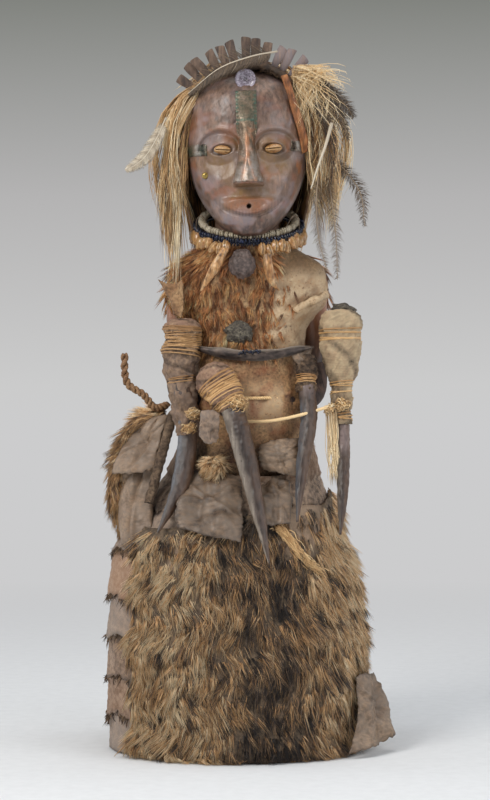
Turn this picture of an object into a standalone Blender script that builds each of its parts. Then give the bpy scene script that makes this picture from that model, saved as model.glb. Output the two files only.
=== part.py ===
# A carved wooden power figure dressed in hide, fur, horns, feathers, shells, metal, fibre and cloth.
# Metres, +Z up. The figure faces -Y, and the origin lies under the middle of its round base.

import math

import bmesh
import bpy
from mathutils import Matrix, Vector
from mathutils.bvhtree import BVHTree

# Sizes that can be set by themselves
FIGURE_HEIGHT = 0.868  # floor to crown of the carved wood
BASE_RADIUS = 0.112
BASE_HEIGHT = 0.050
BASE_EDGE = 0.004
MOUTH_HOLE_RADIUS = 0.0028
MOUTH_HOLE_DEPTH = 0.016
CLOTH_WALL = 0.005  # the skirt's layered raffia cloth
FLAP_WALL = 0.0032
PELT_DEPTH = 0.015  # skin and flattened fur together
SEAT_GAP = 0.0003  # between a piece and what carries it
SHARPEST_PUSH = 2.5  # how much further a room is pushed at a sharp corner, at most
PELT_GAP = 0.0012  # the pelt lies on the cloth's folds, not in them
FLOOR_GAP = 0.002  # the skirts hang just clear of the floor
CREST_BLADES = 13
CREST_BLADE_LENGTH = 0.034
CREST_BLADE_WIDTH = 0.0112
CREST_BLADE_THICKNESS = 0.0045
DISC_RADIUS = 0.0130
DISC_THICKNESS = 0.005
TACK_RADIUS = 0.0045
COWRIE_LENGTH = 0.0225
SHELL_LENGTH = 0.0215
SHELL_WIDTH = 0.0112
COLLAR_ROLL_RADIUS = 0.0052
METAL_SHEET = 0.0016
BLADE_THICKNESS = 0.0035
FEATHER_THICKNESS = 0.0022
STRAP_THICKNESS = 0.0026
TIE_RADIUS = 0.0019
TWIST_RADIUS = 0.0038
STICK_RADIUS = 0.0062

# Places and carved proportions are written in millimetres of a figure 868 mm tall,
# and follow the figure's height through this one value.
MM = FIGURE_HEIGHT / 868

MATERIALS = {
    "wood": ((0.115, 0.070, 0.050), 0.42, 0.0),
    "crest": ((0.105, 0.078, 0.058), 0.70, 0.0),
    "raffia": ((0.420, 0.300, 0.155), 0.85, 0.0),
    "feather_dark": ((0.120, 0.085, 0.060), 0.80, 0.0),
    "feather_white": ((0.620, 0.580, 0.510), 0.75, 0.0),
    "leather": ((0.300, 0.130, 0.050), 0.60, 0.0),
    "copper": ((0.230, 0.180, 0.140), 0.38, 0.8),
    "brass": ((0.560, 0.420, 0.180), 0.30, 1.0),
    "iron": ((0.060, 0.052, 0.050), 0.40, 0.7),
    "shell": ((0.480, 0.300, 0.140), 0.40, 0.0),
    "disc": ((0.420, 0.380, 0.420), 0.35, 0.0),
    "bead_white": ((0.620, 0.560, 0.460), 0.40, 0.0),
    "bead_blue": ((0.025, 0.035, 0.090), 0.30, 0.0),
    "tooth": ((0.560, 0.380, 0.190), 0.40, 0.0),
    "resin": ((0.120, 0.105, 0.095), 0.80, 0.0),
    "hide": ((0.330, 0.190, 0.090), 0.80, 0.0),
    "horn": ((0.100, 0.085, 0.080), 0.38, 0.0),
    "wrap": ((0.330, 0.240, 0.170), 0.85, 0.0),
    "pelt": ((0.270, 0.190, 0.110), 0.90, 0.0),
    "cloth": ((0.190, 0.130, 0.100), 0.90, 0.0),
}


def clear_scene():
    for obj in list(bpy.data.objects):
        bpy.data.objects.remove(obj, do_unlink=True)


def material(name):
    found = bpy.data.materials.get(name)
    if found:
        return found
    colour, roughness, metallic = MATERIALS[name]
    made = bpy.data.materials.new(name)
    made.use_nodes = True
    shader = made.node_tree.nodes["Principled BSDF"]
    shader.inputs["Base Color"].default_value = (*colour, 1.0)
    shader.inputs["Roughness"].default_value = roughness
    shader.inputs["Metallic"].default_value = metallic
    return made


def at(x, y, z):
    """A place on the figure, from its millimetres to metres."""
    return Vector((x, y, z)) * MM


def fade(low, high, value):
    """0 at low, 1 at high, and a smooth curve between them."""
    t = min(max((value - low) / (high - low), 0.0), 1.0)
    return t * t * (3 - 2 * t)


def dome(distance, reach):
    """1 in the middle, falling smoothly to 0 at reach."""
    t = min(abs(distance) / reach, 1.0)
    return (1 - t * t) ** 2


def along(stations, place):
    """The values at a place of rows (place, value, ...), joined by a smooth curve."""
    place = min(max(place, stations[0][0]), stations[-1][0])
    i = 0
    while i < len(stations) - 2 and place > stations[i + 1][0]:
        i += 1
    here, there = stations[i], stations[i + 1]
    before, after = stations[max(i - 1, 0)], stations[min(i + 2, len(stations) - 1)]
    span = there[0] - here[0]
    t = (place - here[0]) / span
    values = []
    for k in range(1, len(here)):
        slope_in = (there[k] - before[k]) / (there[0] - before[0]) * span
        slope_out = (after[k] - here[k]) / (after[0] - here[0]) * span
        values.append(
            here[k] * (2 * t**3 - 3 * t**2 + 1)
            + slope_in * (t**3 - 2 * t**2 + t)
            + there[k] * (3 * t**2 - 2 * t**3)
            + slope_out * (t**3 - t**2)
        )
    return values


def curve_point(points, t):
    """A point at share t along a smooth curve through the points."""
    rows = [(i, *p) for i, p in enumerate(points)]
    return Vector(along(rows, t * (len(points) - 1)))


def add_object(name, bm, colour, smooth=True):
    bmesh.ops.recalc_face_normals(bm, faces=bm.faces)
    bmesh.ops.triangulate(bm, faces=bm.faces)
    if bm.calc_volume(signed=True) < 0:
        bmesh.ops.reverse_faces(bm, faces=bm.faces)
    mesh = bpy.data.meshes.new(name)
    bm.to_mesh(mesh)
    bm.free()
    mesh.materials.append(material(colour))
    if smooth:
        mesh.shade_smooth()
        mesh.set_sharp_from_angle(angle=math.radians(40))
    obj = bpy.data.objects.new(name, mesh)
    bpy.context.scene.collection.objects.link(obj)
    return obj


def skin_rows(bm, rows, round_rows, join_ends):
    """Faces between neighbouring rows of vertices."""
    pairs = list(zip(rows, rows[1:]))
    if join_ends:
        pairs.append((rows[-1], rows[0]))
    for lower, upper in pairs:
        count = len(lower) if round_rows else len(lower) - 1
        for i in range(count):
            j = (i + 1) % len(lower)
            bm.faces.new((lower[i], lower[j], upper[j], upper[i]))


def loft(name, rings, colour):
    """A closed body through rings of points, with flat ends."""
    bm = bmesh.new()
    rows = [[bm.verts.new(p) for p in ring] for ring in rings]
    skin_rows(bm, rows, True, False)
    bm.faces.new(rows[0])
    bm.faces.new(rows[-1])
    return add_object(name, bm, colour)


def sleeve(name, outer, inner, colour):
    """An open-ended wall between two stacks of rings."""
    bm = bmesh.new()
    rows = [[bm.verts.new(p) for p in ring] for ring in outer + inner[::-1]]
    skin_rows(bm, rows, True, True)
    return add_object(name, bm, colour)


def panel(name, front, back, colour):
    """A closed body between a front and a back grid of points."""
    bm = bmesh.new()
    faces = [[[bm.verts.new(p) for p in row] for row in grid] for grid in (front, back)]
    for rows in faces:
        skin_rows(bm, rows, False, False)
    edges = []
    for rows in faces:
        right = [row[-1] for row in rows]
        left = [row[0] for row in rows]
        edges.append(rows[0] + right[1:] + rows[-1][::-1][1:] + left[::-1][1:-1])
    skin_rows(bm, edges, True, False)
    return add_object(name, bm, colour)


def sheet(name, grid, thickness, colour):
    """A thin curved sheet: the grid pushed half the thickness to each side."""
    rows, columns = len(grid), len(grid[0])
    front, back = [], []
    for i in range(rows):
        front.append([])
        back.append([])
        for j in range(columns):
            down = grid[min(i + 1, rows - 1)][j] - grid[max(i - 1, 0)][j]
            across = grid[i][min(j + 1, columns - 1)] - grid[i][max(j - 1, 0)]
            push = down.cross(across).normalized() * (thickness / 2)
            front[-1].append(grid[i][j] + push)
            back[-1].append(grid[i][j] - push)
    return panel(name, front, back, colour)


def tube_rings(points, radii, sides, flat=1.0, steps=None):
    """Rings square to a smooth curve through the points, whose radii are in metres."""
    steps = steps or (len(points) - 1) * 2
    centres = [curve_point(points, i / steps) for i in range(steps + 1)]
    radius_rows = [(i, r) for i, r in enumerate(radii)]
    side = Vector((1, 0, 0))
    rings = []
    for i, centre in enumerate(centres):
        forward = (centres[min(i + 1, steps)] - centres[max(i - 1, 0)]).normalized()
        side = (side - forward * side.dot(forward)).normalized()
        other = forward.cross(side)
        radius = along(radius_rows, i / steps * (len(radii) - 1))[0]
        rings.append(
            [
                centre
                + side * (radius * math.cos(2 * math.pi * k / sides))
                + other * (radius * flat * math.sin(2 * math.pi * k / sides))
                for k in range(sides)
            ]
        )
    return rings


def tube(name, points, radii, sides, colour, flat=1.0, steps=None):
    return loft(name, tube_rings(points, radii, sides, flat, steps), colour)


def oval_ring(centre, half_width, half_depth, sides, power=2.0, turn=None):
    """A level oval, squarer as power grows, starting at the front."""
    ring = []
    for k in range(sides):
        angle = turn[k] if turn else 2 * math.pi * k / sides
        s, c = math.sin(angle), math.cos(angle)
        x = math.copysign(abs(s) ** (2 / power), s) * half_width
        y = -math.copysign(abs(c) ** (2 / power), c) * half_depth
        ring.append(centre + Vector((x, y, 0)))
    return ring


def pebble(name, centre, axes, colour, columns=8, rows=6):
    """A rounded body with three half-lengths along the rows of axes."""
    bm = bmesh.new()
    bmesh.ops.create_uvsphere(bm, u_segments=columns, v_segments=rows, radius=1.0)
    turn = Matrix(axes).transposed()
    for vertex in bm.verts:
        vertex.co = centre + turn @ vertex.co
    return add_object(name, bm, colour)


def bezier_patch(corners, t, s):
    """A point on the curved patch that nine places span, three by three."""
    rows = []
    for a, b, c in corners:
        rows.append(a * (1 - s) ** 2 + b * 2 * s * (1 - s) + c * s**2)
    return rows[0] * (1 - t) ** 2 + rows[1] * 2 * t * (1 - t) + rows[2] * t**2


def patch_grid(corners, rows, columns):
    places = [[at(*place) for place in row] for row in corners]
    return [
        [bezier_patch(places, i / rows, j / columns) for j in range(columns + 1)]
        for i in range(rows + 1)
    ]


# Joining and seating


def bake(obj):
    """Replaces an object's mesh by what its modifiers make of it."""
    bpy.context.view_layer.update()
    graph = bpy.context.evaluated_depsgraph_get()
    baked = bpy.data.meshes.new_from_object(obj.evaluated_get(graph))
    obj.modifiers.clear()
    bm = bmesh.new()
    bm.from_mesh(baked)
    bmesh.ops.triangulate(bm, faces=bm.faces)
    bm.to_mesh(baked)
    bm.free()
    obj.data = baked


def combine(obj, others, operation):
    for other in others:
        cut = obj.modifiers.new(operation.lower(), "BOOLEAN")
        cut.operation = operation
        cut.object = other
    bake(obj)
    for other in others:
        bpy.data.objects.remove(other, do_unlink=True)
    return obj


def search_tree(bm):
    """A tree of the faces in millimetres, since faces a millimetre wide are too small to test in metres."""
    bm.transform(Matrix.Scale(1000, 4))
    return BVHTree.FromBMesh(bm)


def room_of(obj):
    """The space a body takes before it is joined or cut, with the seating gap round it."""
    bm = bmesh.new()
    bm.from_mesh(obj.data)
    bm.normal_update()
    pushes = [(v, v.normal * SEAT_GAP * min(v.calc_shell_factor(), SHARPEST_PUSH)) for v in bm.verts]
    for vertex, push in pushes:
        vertex.co += push
    mesh = bpy.data.meshes.new(obj.name + "_room")
    bm.to_mesh(mesh)
    tree = search_tree(bm)
    bm.free()
    room = bpy.data.objects.new(obj.name + "_room", mesh)
    room.hide_render = True
    room.display_type = "WIRE"
    bpy.context.scene.collection.objects.link(room)
    return room, tree


fused_rooms = {}  # the rooms of the bodies that a fused piece is made of, by its name


def fuse(obj, *others):
    fused_rooms[obj.name] = [room_of(body) for body in (obj, *others)]
    return combine(obj, others, "UNION")


def keep_largest(obj):
    """Drops the crumbs that a cut leaves beside the main body."""
    bm = bmesh.new()
    bm.from_mesh(obj.data)
    left = set(bm.verts)
    bodies = []
    while left:
        stack = [left.pop()]
        body = set(stack)
        while stack:
            for edge in stack.pop().link_edges:
                for vertex in edge.verts:
                    if vertex in left:
                        left.remove(vertex)
                        body.add(vertex)
                        stack.append(vertex)
        bodies.append(body)
    bodies.sort(key=len)
    crumbs = [v for body in bodies[:-1] for v in body]
    bmesh.ops.delete(bm, geom=crumbs, context="VERTS")
    bm.to_mesh(obj.data)
    bm.free()


def settle(piece, rooms):
    """Cuts from a piece what the earlier pieces take, and adds its own room to theirs."""
    own_rooms = fused_rooms.get(piece.name) or [room_of(piece)]
    bm = bmesh.new()
    bm.from_mesh(piece.data)
    tree = search_tree(bm)
    bm.free()
    for room, room_tree in rooms:
        if tree.overlap(room_tree):
            cut = piece.modifiers.new(room.name, "BOOLEAN")
            cut.operation = "DIFFERENCE"
            cut.object = room
    if piece.modifiers:
        bake(piece)
        keep_largest(piece)
    rooms += own_rooms


# The carved figure

TORSO = (  # height, half width, half depth, y of the middle
    (262, 70, 56, 4),
    (300, 84, 66, 2),
    (350, 78, 65, -2),
    (400, 72, 66, -6),
    (440, 70, 68, -9),
    (485, 66, 60, -6),
    (530, 66, 50, -1),
    (570, 76, 45, 1),
    (600, 74, 41, 2),
    (622, 52, 40, 2),
    (640, 43, 41, 3),
    (700, 40, 42, 6),
)
HEAD_MIDDLE = 3.5  # the head sits a little to the figure's left
HEAD_ROLL = math.radians(-1.6)
HEAD = (  # height, half width, depth to the front, depth to the back, y of the middle
    (650, 10, 9, 9, -52),
    (653, 20, 17, 17, -50),
    (660, 31, 28, 32, -43),
    (672, 43, 42, 50, -33),
    (690, 56, 57, 66, -20),
    (715, 68, 69, 76, -8),
    (745, 76, 76, 82, -1),
    (775, 79, 79, 86, 3),
    (803, 77, 78, 86, 4),
    (827, 70, 72, 80, 4),
    (845, 58, 61, 68, 5),
    (858, 42, 45, 50, 6),
    (866, 22, 25, 28, 7),
    (868, 6, 7, 8, 7),
)
FACE_POWER = 2.35
EYE_OUT, EYE_UP = 32, 759
NOSE_TOP, NOSE_BASE = 792, 716
MOUTH_UP, MOUTH_HALF, LIP_HALF = 688, 34, 11


def face_relief(x, z):
    """How far the carving stands out of the plain face, in millimetres."""
    side = abs(x)
    out_x, up_z = side - EYE_OUT, z - EYE_UP
    reach = math.hypot(out_x / 28, up_z / (22 if up_z > 0 else 34))
    relief = -7.0 * (1 - fade(0.62 if up_z < 0 else 0.80, 1.05, reach))
    relief += 7.0 * dome(math.hypot(out_x / 19, up_z / 11), 1)
    if NOSE_BASE - 6 < z < NOSE_TOP + 14:
        drop = min(max((NOSE_TOP - z) / (NOSE_TOP - NOSE_BASE), 0.0), 1.0)
        half = 9 + 11 * drop**2.2
        height = (5 + 21 * drop**1.25) * (1 - fade(NOSE_TOP - 8, NOSE_TOP + 14, z))
        height *= fade(NOSE_BASE - 5, NOSE_BASE, z)
        relief += height * max(0.0, 1 - (side / half) ** 2) ** 0.75
    lift = z - (MOUTH_UP + 6 * (x / MOUTH_HALF) ** 2)
    lip = math.hypot(x / MOUTH_HALF, lift / LIP_HALF)
    relief += 6.0 * (1 - fade(0.72, 1.15, lip)) - 2.5 * (1 - fade(0.45, 0.72, lip))
    return relief


def head_place(point):
    """From the upright head's millimetres to its place on the neck, in metres."""
    neck = Vector((0, 0, 650))
    rolled = Matrix.Rotation(HEAD_ROLL, 3, "Y") @ (point - neck) + neck
    return (rolled + Vector((HEAD_MIDDLE, 0, 0))) * MM


def face_place(x, z, out=0.0):
    """A point in front of the face by out millimetres, at x and z of the upright head."""
    half, front, _, middle = along(HEAD, z)
    share = max(0.0, 1 - min(abs(x) / half, 1.0) ** FACE_POWER)
    y = middle - front * share ** (1 / FACE_POWER) - face_relief(x, z)
    return head_place(Vector((x, y - out, z)))


def head_body(rows, columns):
    rings = []
    for i in range(rows + 1):
        share = i / rows
        z = 650 + 218 * (share - 0.055 * math.sin(2 * math.pi * share))
        half, front, back, middle = along(HEAD, z)
        ring = []
        for k in range(columns):
            turn = 2 * math.pi * k / columns
            angle = turn - 0.42 * math.sin(turn)
            s, c = math.sin(angle), math.cos(angle)
            x = math.copysign(abs(s) ** (2 / FACE_POWER), s) * half
            depth = front if c > 0 else back
            y = middle - math.copysign(abs(c) ** (2 / FACE_POWER), c) * depth
            y -= face_relief(x, z) * fade(0.0, 0.35, c)
            ring.append(head_place(Vector((x, y, z))))
        rings.append(ring)
    return loft("head", rings, "wood")


def carved_figure():
    rings = []
    rows = 9
    for i in range(rows + 1):
        z = TORSO[0][0] + (TORSO[-1][0] - TORSO[0][0]) * i / rows
        half, depth, middle = along(TORSO, z)
        rings.append(oval_ring(at(0, middle, z), half * MM, depth * MM, 16, 2.3))
    figure = loft("figure", rings, "wood")
    parts = [head_body(19, 28)]
    for side in (-1, 1):
        arm = [
            at(side * 74, 2, 613), at(side * 78, 2, 600), at(side * 82, 4, 570),
            at(side * 85, 8, 500), at(side * 84, 2, 456), at(side * 68, -40, 444),
            at(side * 46, -64, 442), at(side * 26, -76, 446),
        ]
        arm_radii = [r * MM for r in (6, 17, 20, 17, 17, 14, 13, 7)]
        parts.append(tube("arm", arm, arm_radii, 7, "wood", steps=8))
        leg = [
            at(side * 38, 0, 300), at(side * 43, -8, 230), at(side * 45, -14, 165),
            at(side * 45, 2, 112), at(side * 44, 4, 46),
        ]
        leg_radii = [r * MM for r in (30, 35, 31, 29, 23)]
        parts.append(tube("leg", leg, leg_radii, 8, "wood", steps=4))
        foot = [at(side * 44, 26, 60), at(side * 44, -20, 60), at(side * 46, -62, 56)]
        foot_radii = [r * MM for r in (15, 21, 15)]
        parts.append(tube("foot", foot, foot_radii, 8, "wood", flat=0.8, steps=2))
    base_rings = []
    for height, inset in (
        (0, BASE_EDGE), (BASE_EDGE, 0), (BASE_HEIGHT - BASE_EDGE, 0), (BASE_HEIGHT, BASE_EDGE)
    ):
        radius = BASE_RADIUS - inset
        base_rings.append(oval_ring(Vector((0, 0, height)), radius, radius, 24))
    parts.append(loft("base", base_rings, "wood"))
    fuse(figure, *parts)
    mouth = face_place(0, MOUTH_UP)
    hole = [mouth + Vector((0, -0.004, 0)), mouth + Vector((0, MOUTH_HOLE_DEPTH, 0))]
    bore = tube("bore", hole, [MOUTH_HOLE_RADIUS] * 2, 8, "wood", steps=1)
    combine(figure, [bore], "DIFFERENCE")
    return figure


# Dress: hide and skirts

HIDE = (  # height, half width, half depth, y of the middle: the outside of the hide
    (350, 80, 75, -5),
    (440, 80, 79, -9),
    (490, 76, 71, -6),
    (532, 78, 62, -2),
    (552, 92, 58, 0),
    (566, 103, 55, 1),
    (600, 103, 52, 2),
    (614, 97, 49, 2),
    (628, 77, 47, 2),
    (640, 56, 47, 3),
    (647, 49, 46, 3),
)
SKIRT = (  # height, half width, half depth, x and y of the middle: the inside of the cloth
    (0, 154, 136, -17, -2),
    (60, 155, 138, -17, -4),
    (130, 154, 136, -18, -6),
    (200, 149, 129, -21, -7),
    (260, 138, 117, -25, -7),
    (310, 116, 101, -15, -6),
    (350, 94, 87, -5, -5),
    (392, 80, 74, 0, -5),
)
CLOTH_FOLDS = 9
CLOTH_FOLD_DEPTH = 4.0
PELT_LEFT, PELT_RIGHT = math.radians(-50), math.radians(104)


def hide_body():
    rings = []
    rows = 10
    for i in range(rows + 1):
        z = HIDE[0][0] + (HIDE[-1][0] - HIDE[0][0]) * (i / rows) ** 0.85
        half, depth, middle = along(HIDE, z)
        rings.append(oval_ring(at(0, middle, z), half * MM, depth * MM, 18, 2.3))
    return loft("chest_hide", rings, "hide")


def cloth_rim(angle):
    """The skirt's upper edge: low in front, high at the sides and back."""
    return 352 + 36 * fade(math.radians(24), math.radians(78), abs(angle))


def skirt_place(angle, z, out):
    """A point out metres outside the cloth's inner face, angle round from the front."""
    half, depth, x, y = along(SKIRT, z)
    fold = CLOTH_FOLD_DEPTH * fade(392, 150, z) * math.sin(CLOTH_FOLDS * angle + 0.8)
    fold *= 0.35 + 0.65 * fade(math.radians(50), math.radians(100), abs(angle))
    s, c = math.sin(angle), math.cos(angle)
    wide = (half + fold) * MM + out
    deep = (depth + fold) * MM + out
    x_share = math.copysign(abs(s) ** (2 / 2.2), s)
    y_share = math.copysign(abs(c) ** (2 / 2.2), c)
    return at(x, y, z) + Vector((wide * x_share, -deep * y_share, 0))


def cloth_skirt():
    walls = []
    columns, rows = 36, 5
    for out in (CLOTH_WALL, 0.0):
        rings = []
        for i in range(rows + 1):
            ring = []
            for k in range(columns):
                angle = 2 * math.pi * k / columns - math.pi
                low = FLOOR_GAP / MM
                z = low + (cloth_rim(angle) - low) * i / rows
                ring.append(skirt_place(angle, z, out))
            rings.append(ring)
        walls.append(rings)
    return sleeve("cloth_skirt", walls[0], walls[1], "cloth")


def pelt_skirt():
    """The spotted pelt that hangs over the cloth, front and left side of the figure."""
    walls = []
    columns, rows = 18, 7
    for out in (CLOTH_WALL + PELT_DEPTH, CLOTH_WALL + PELT_GAP):
        grid = []
        for i in range(rows + 1):
            row = []
            for k in range(columns + 1):
                share = k / columns
                ragged = 0.05 * math.sin(9 * i / rows * math.pi) * (1 - 2 * share)
                angle = PELT_LEFT + (PELT_RIGHT - PELT_LEFT) * share - ragged
                low = FLOOR_GAP / MM + 7 * dome(angle - math.radians(-38), 0.25)
                low += 26 * fade(math.radians(45), PELT_RIGHT, angle)
                high = 301 + 14 * math.sin(2.2 * angle) + 34 * fade(0.9, 1.7, angle)
                z = low + (high - low) * i / rows
                thin = 0.75 + 0.25 * math.sin(5 * angle + 6 * i / rows)
                row.append(skirt_place(angle, z, out if out < 0.008 else out * thin + 0.003))
            grid.append(row)
        walls.append(grid)
    return panel("pelt_skirt", walls[0], walls[1], "pelt")


# Headdress

CREST_UP, CREST_BACK, BAND_REACH = 790, -38, 75
CREST_FIRST, CREST_LAST = math.radians(-56), math.radians(48)


def crest_place(angle, reach, back=0.0):
    """A point on the fan over the crown, reach millimetres from its middle."""
    x = HEAD_MIDDLE + reach * math.sin(angle)
    z = CREST_UP + reach * math.cos(angle)
    return at(x, CREST_BACK + back + 16 * math.sin(angle) ** 2, z)


def headband():
    rings = []
    steps, sides = 12, 5
    for i in range(steps + 1):
        angle = math.radians(-80) + math.radians(156) * i / steps
        ring = []
        for k in range(sides):
            turn = 2 * math.pi * k / sides
            ring.append(crest_place(angle, BAND_REACH + 6 * math.cos(turn), 14 * math.sin(turn)))
        rings.append(ring)
    return loft("headband", rings, "hide")


def crest_blade(index):
    share = index / (CREST_BLADES - 1)
    angle = CREST_FIRST + (CREST_LAST - CREST_FIRST) * share
    lean = math.radians(5) * math.sin(index * 2.3)
    root = crest_place(angle, BAND_REACH)
    up = Vector((math.sin(angle + lean), 0.06 * math.sin(index * 1.7), math.cos(angle + lean)))
    across = Vector((math.cos(angle + lean), 0, -math.sin(angle + lean)))
    length = CREST_BLADE_LENGTH * (1 + 0.07 * math.sin(index * 1.3))
    grid = []
    for i in range(3):
        height = i / 2
        half = CREST_BLADE_WIDTH / 2 * (0.62 + 0.38 * math.sin(2.4 * height))
        grid.append(
            [root + up * (length * height) + across * (half * s) for s in (-1, 0, 1)]
        )
    return sheet(f"crest_blade_{index + 1:02d}", grid, CREST_BLADE_THICKNESS, "crest")


def leaf(name, points, half_width, facing, thickness, colour, rows=5):
    """A feather or strip: a curved spine with a vane to each side."""
    spine = [at(*p) for p in points]
    grid = []
    for i in range(rows + 1):
        t = i / rows
        centre = curve_point(spine, t)
        ahead = curve_point(spine, min(t + 0.02, 1)) - curve_point(spine, max(t - 0.02, 0))
        across = ahead.cross(Vector(facing)).normalized()
        half = half_width(t) * MM
        grid.append([centre + across * (half * s) for s in (-1, 0, 1)])
    return sheet(name, grid, thickness, colour)


def feather_outline(widest):
    return lambda t: 1.2 + widest * math.sin(math.pi * min(t * 0.9 + 0.1, 1)) ** 0.7


def feathers():
    front, side = (0, -1, 0), (0.35, -0.94, 0)
    return [
        leaf("white_feather", ((-104, -30, 800), (-116, -34, 772), (-130, -36, 748), (-152, -36, 733)),
             feather_outline(7.5), front, FEATHER_THICKNESS, "feather_white"),
        leaf("brow_feather", ((34, -48, 882), (2, -63, 874), (-38, -58, 859), (-76, -36, 829)),
             feather_outline(8.5), (0, -0.9, 0.43), FEATHER_THICKNESS, "feather_dark"),
        leaf("long_feather", ((98, -40, 742), (106, -42, 700), (112, -42, 650), (114, -42, 596)),
             feather_outline(8), side, FEATHER_THICKNESS, "feather_dark"),
        leaf("short_feather", ((91, -41, 738), (87, -50, 694), (90, -50, 650), (101, -50, 606)),
             feather_outline(6.5), front, FEATHER_THICKNESS, "feather_dark"),
        leaf("curled_feather", ((106, -22, 750), (126, -22, 732), (144, -22, 704), (149, -22, 664)),
             feather_outline(9), front, FEATHER_THICKNESS, "feather_dark"),
    ]


LEFT_LOCK = (  # height, x, y, half width, half depth of the fibres on the viewer's left
    (524, -96, -50, 4, 6),
    (560, -95, -48, 8, 14),
    (600, -96, -40, 13, 22),
    (650, -98, -28, 17, 28),
    (700, -99, -22, 18, 33),
    (750, -97, -20, 21, 38),
    (795, -90, -20, 24, 38),
    (825, -74, -21, 25, 32),
    (850, -50, -24, 12, 16),
)
RIGHT_LOCK = (
    (632, 105, -18, 5, 9),
    (665, 104, -18, 11, 19),
    (705, 102, -17, 16, 27),
    (750, 99, -17, 21, 34),
    (795, 93, -19, 26, 37),
    (826, 76, -21, 27, 33),
    (852, 52, -22, 13, 17),
)
BACK_LOCKS = (  # height, half width, outer and inner distance behind the figure's middle
    (572, 50, 66, 60),
    (610, 62, 74, 64),
    (650, 70, 84, 70),
    (700, 82, 94, 80),
    (745, 92, 101, 88),
    (785, 94, 105, 96),
    (825, 86, 99, 91),
    (852, 70, 84, 74),
    (876, 44, 54, 44),
)
BACK_LOCKS_FRONT = -4  # where the back hair meets the side locks


def back_locks():
    """The fibre hair behind the head, from side to side, hanging to the shoulders."""
    rows, columns = 7, 9
    walls = []
    for wall in (1, 2):
        grid = []
        for i in range(rows + 1):
            z = BACK_LOCKS[0][0] + (BACK_LOCKS[-1][0] - BACK_LOCKS[0][0]) * i / rows
            values = along(BACK_LOCKS, z)
            half = values[0] - (0 if wall == 1 else 9)
            deep = values[wall] - BACK_LOCKS_FRONT
            row = []
            for k in range(columns + 1):
                angle = math.radians(-82 + 164 * k / columns)
                x = half * math.copysign(abs(math.sin(angle)) ** 0.9, math.sin(angle))
                row.append(at(x, BACK_LOCKS_FRONT + deep * math.cos(angle) ** 0.9, z))
            grid.append(row)
        walls.append(grid)
    return panel("back_locks", walls[0], walls[1], "raffia")


def fibre_lock(name, stations, rows, sides):
    rings = []
    for i in range(rows + 1):
        z = stations[0][0] + (stations[-1][0] - stations[0][0]) * i / rows
        x, y, half, depth = along(stations, z)
        rings.append(oval_ring(at(x, y, z), half * MM, depth * MM, sides, 2.2))
    return loft(name, rings, "raffia")


# Face fittings


def face_panel(name, outline, top, bottom, rows, columns, colour):
    """A metal sheet beaten onto the face. outline gives its edges at each height."""
    walls = []
    for out in (METAL_SHEET / MM, -2.2):
        grid = []
        for i in range(rows + 1):
            z = top + (bottom - top) * i / rows
            left, right = outline(z)
            grid.append(
                [
                    face_place(left + (right - left) * k / columns, z, out)
                    for k in range(columns + 1)
                ]
            )
        walls.append(grid)
    return panel(name, walls[0], walls[1], colour)


def brow_strip_edges(z):
    if z > NOSE_TOP - 8:
        return -13, 13
    drop = (NOSE_TOP - 8 - z) / (NOSE_TOP - 8 - NOSE_BASE)
    half = 8.5 + 4.5 * (1 - fade(0, 0.25, drop)) + 10.5 * drop**2.2
    return -half, half


def face_fittings():
    pieces = [
        face_panel("copper_brow_strip", brow_strip_edges, 832, 718, 8, 3, "copper"),
        face_panel("temple_strip_left", lambda z: (-74, -51), 767, 753, 1, 3, "copper"),
        face_panel("temple_strip_right", lambda z: (55, 75), 768, 756, 1, 3, "copper"),
    ]
    half = COWRIE_LENGTH / 2
    for name, side in (("cowrie_eye_left", -1), ("cowrie_eye_right", 1)):
        centre = face_place(side * EYE_OUT, EYE_UP, -1.0)
        axes = ((half, 0, 0), (0, half * 0.42, 0), (0, 0, half * 0.50))
        pieces.append(pebble(name, centre, axes, "shell"))
    tack = face_place(-53, 728)
    pieces.append(
        pebble("cheek_tack", tack, ((TACK_RADIUS, 0, 0), (0, TACK_RADIUS * 0.7, 0), (0, 0, TACK_RADIUS)), "brass")
    )
    middle = face_place(0, 847, 5)
    rim = [middle + Vector((0, y, 0)) for y in (-DISC_THICKNESS / 2, DISC_THICKNESS / 2)]
    pieces.append(tube("forehead_disc", rim, [DISC_RADIUS] * 2, 18, "disc", steps=1))
    return pieces


# Neck

COLLAR_HALF, COLLAR_DEPTH, COLLAR_MIDDLE = 57, 51, -8


def collar_place(angle, grow, drop):
    """A point on the tilted ring round the neck: low in front, high behind."""
    s, c = math.sin(angle), math.cos(angle)
    x = HEAD_MIDDLE * 0.6 + (COLLAR_HALF + grow) * s
    y = COLLAR_MIDDLE - (COLLAR_DEPTH + grow) * c
    return at(x, y, 659 - 15 * c - drop)


def bead_collar(name, grow, drop, colour):
    rings = []
    count, sides = 20, 5
    for i in range(count):
        angle = 2 * math.pi * i / count
        centre = collar_place(angle, grow, drop)
        outward = Vector((math.sin(angle), -math.cos(angle), 0))
        rings.append(
            [
                centre
                + outward * (COLLAR_ROLL_RADIUS * math.cos(2 * math.pi * k / sides))
                + Vector((0, 0, COLLAR_ROLL_RADIUS * math.sin(2 * math.pi * k / sides)))
                for k in range(sides)
            ]
        )
    bm = bmesh.new()
    rows = [[bm.verts.new(p) for p in ring] for ring in rings]
    skin_rows(bm, rows, True, True)
    return add_object(name, bm, colour)


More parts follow.
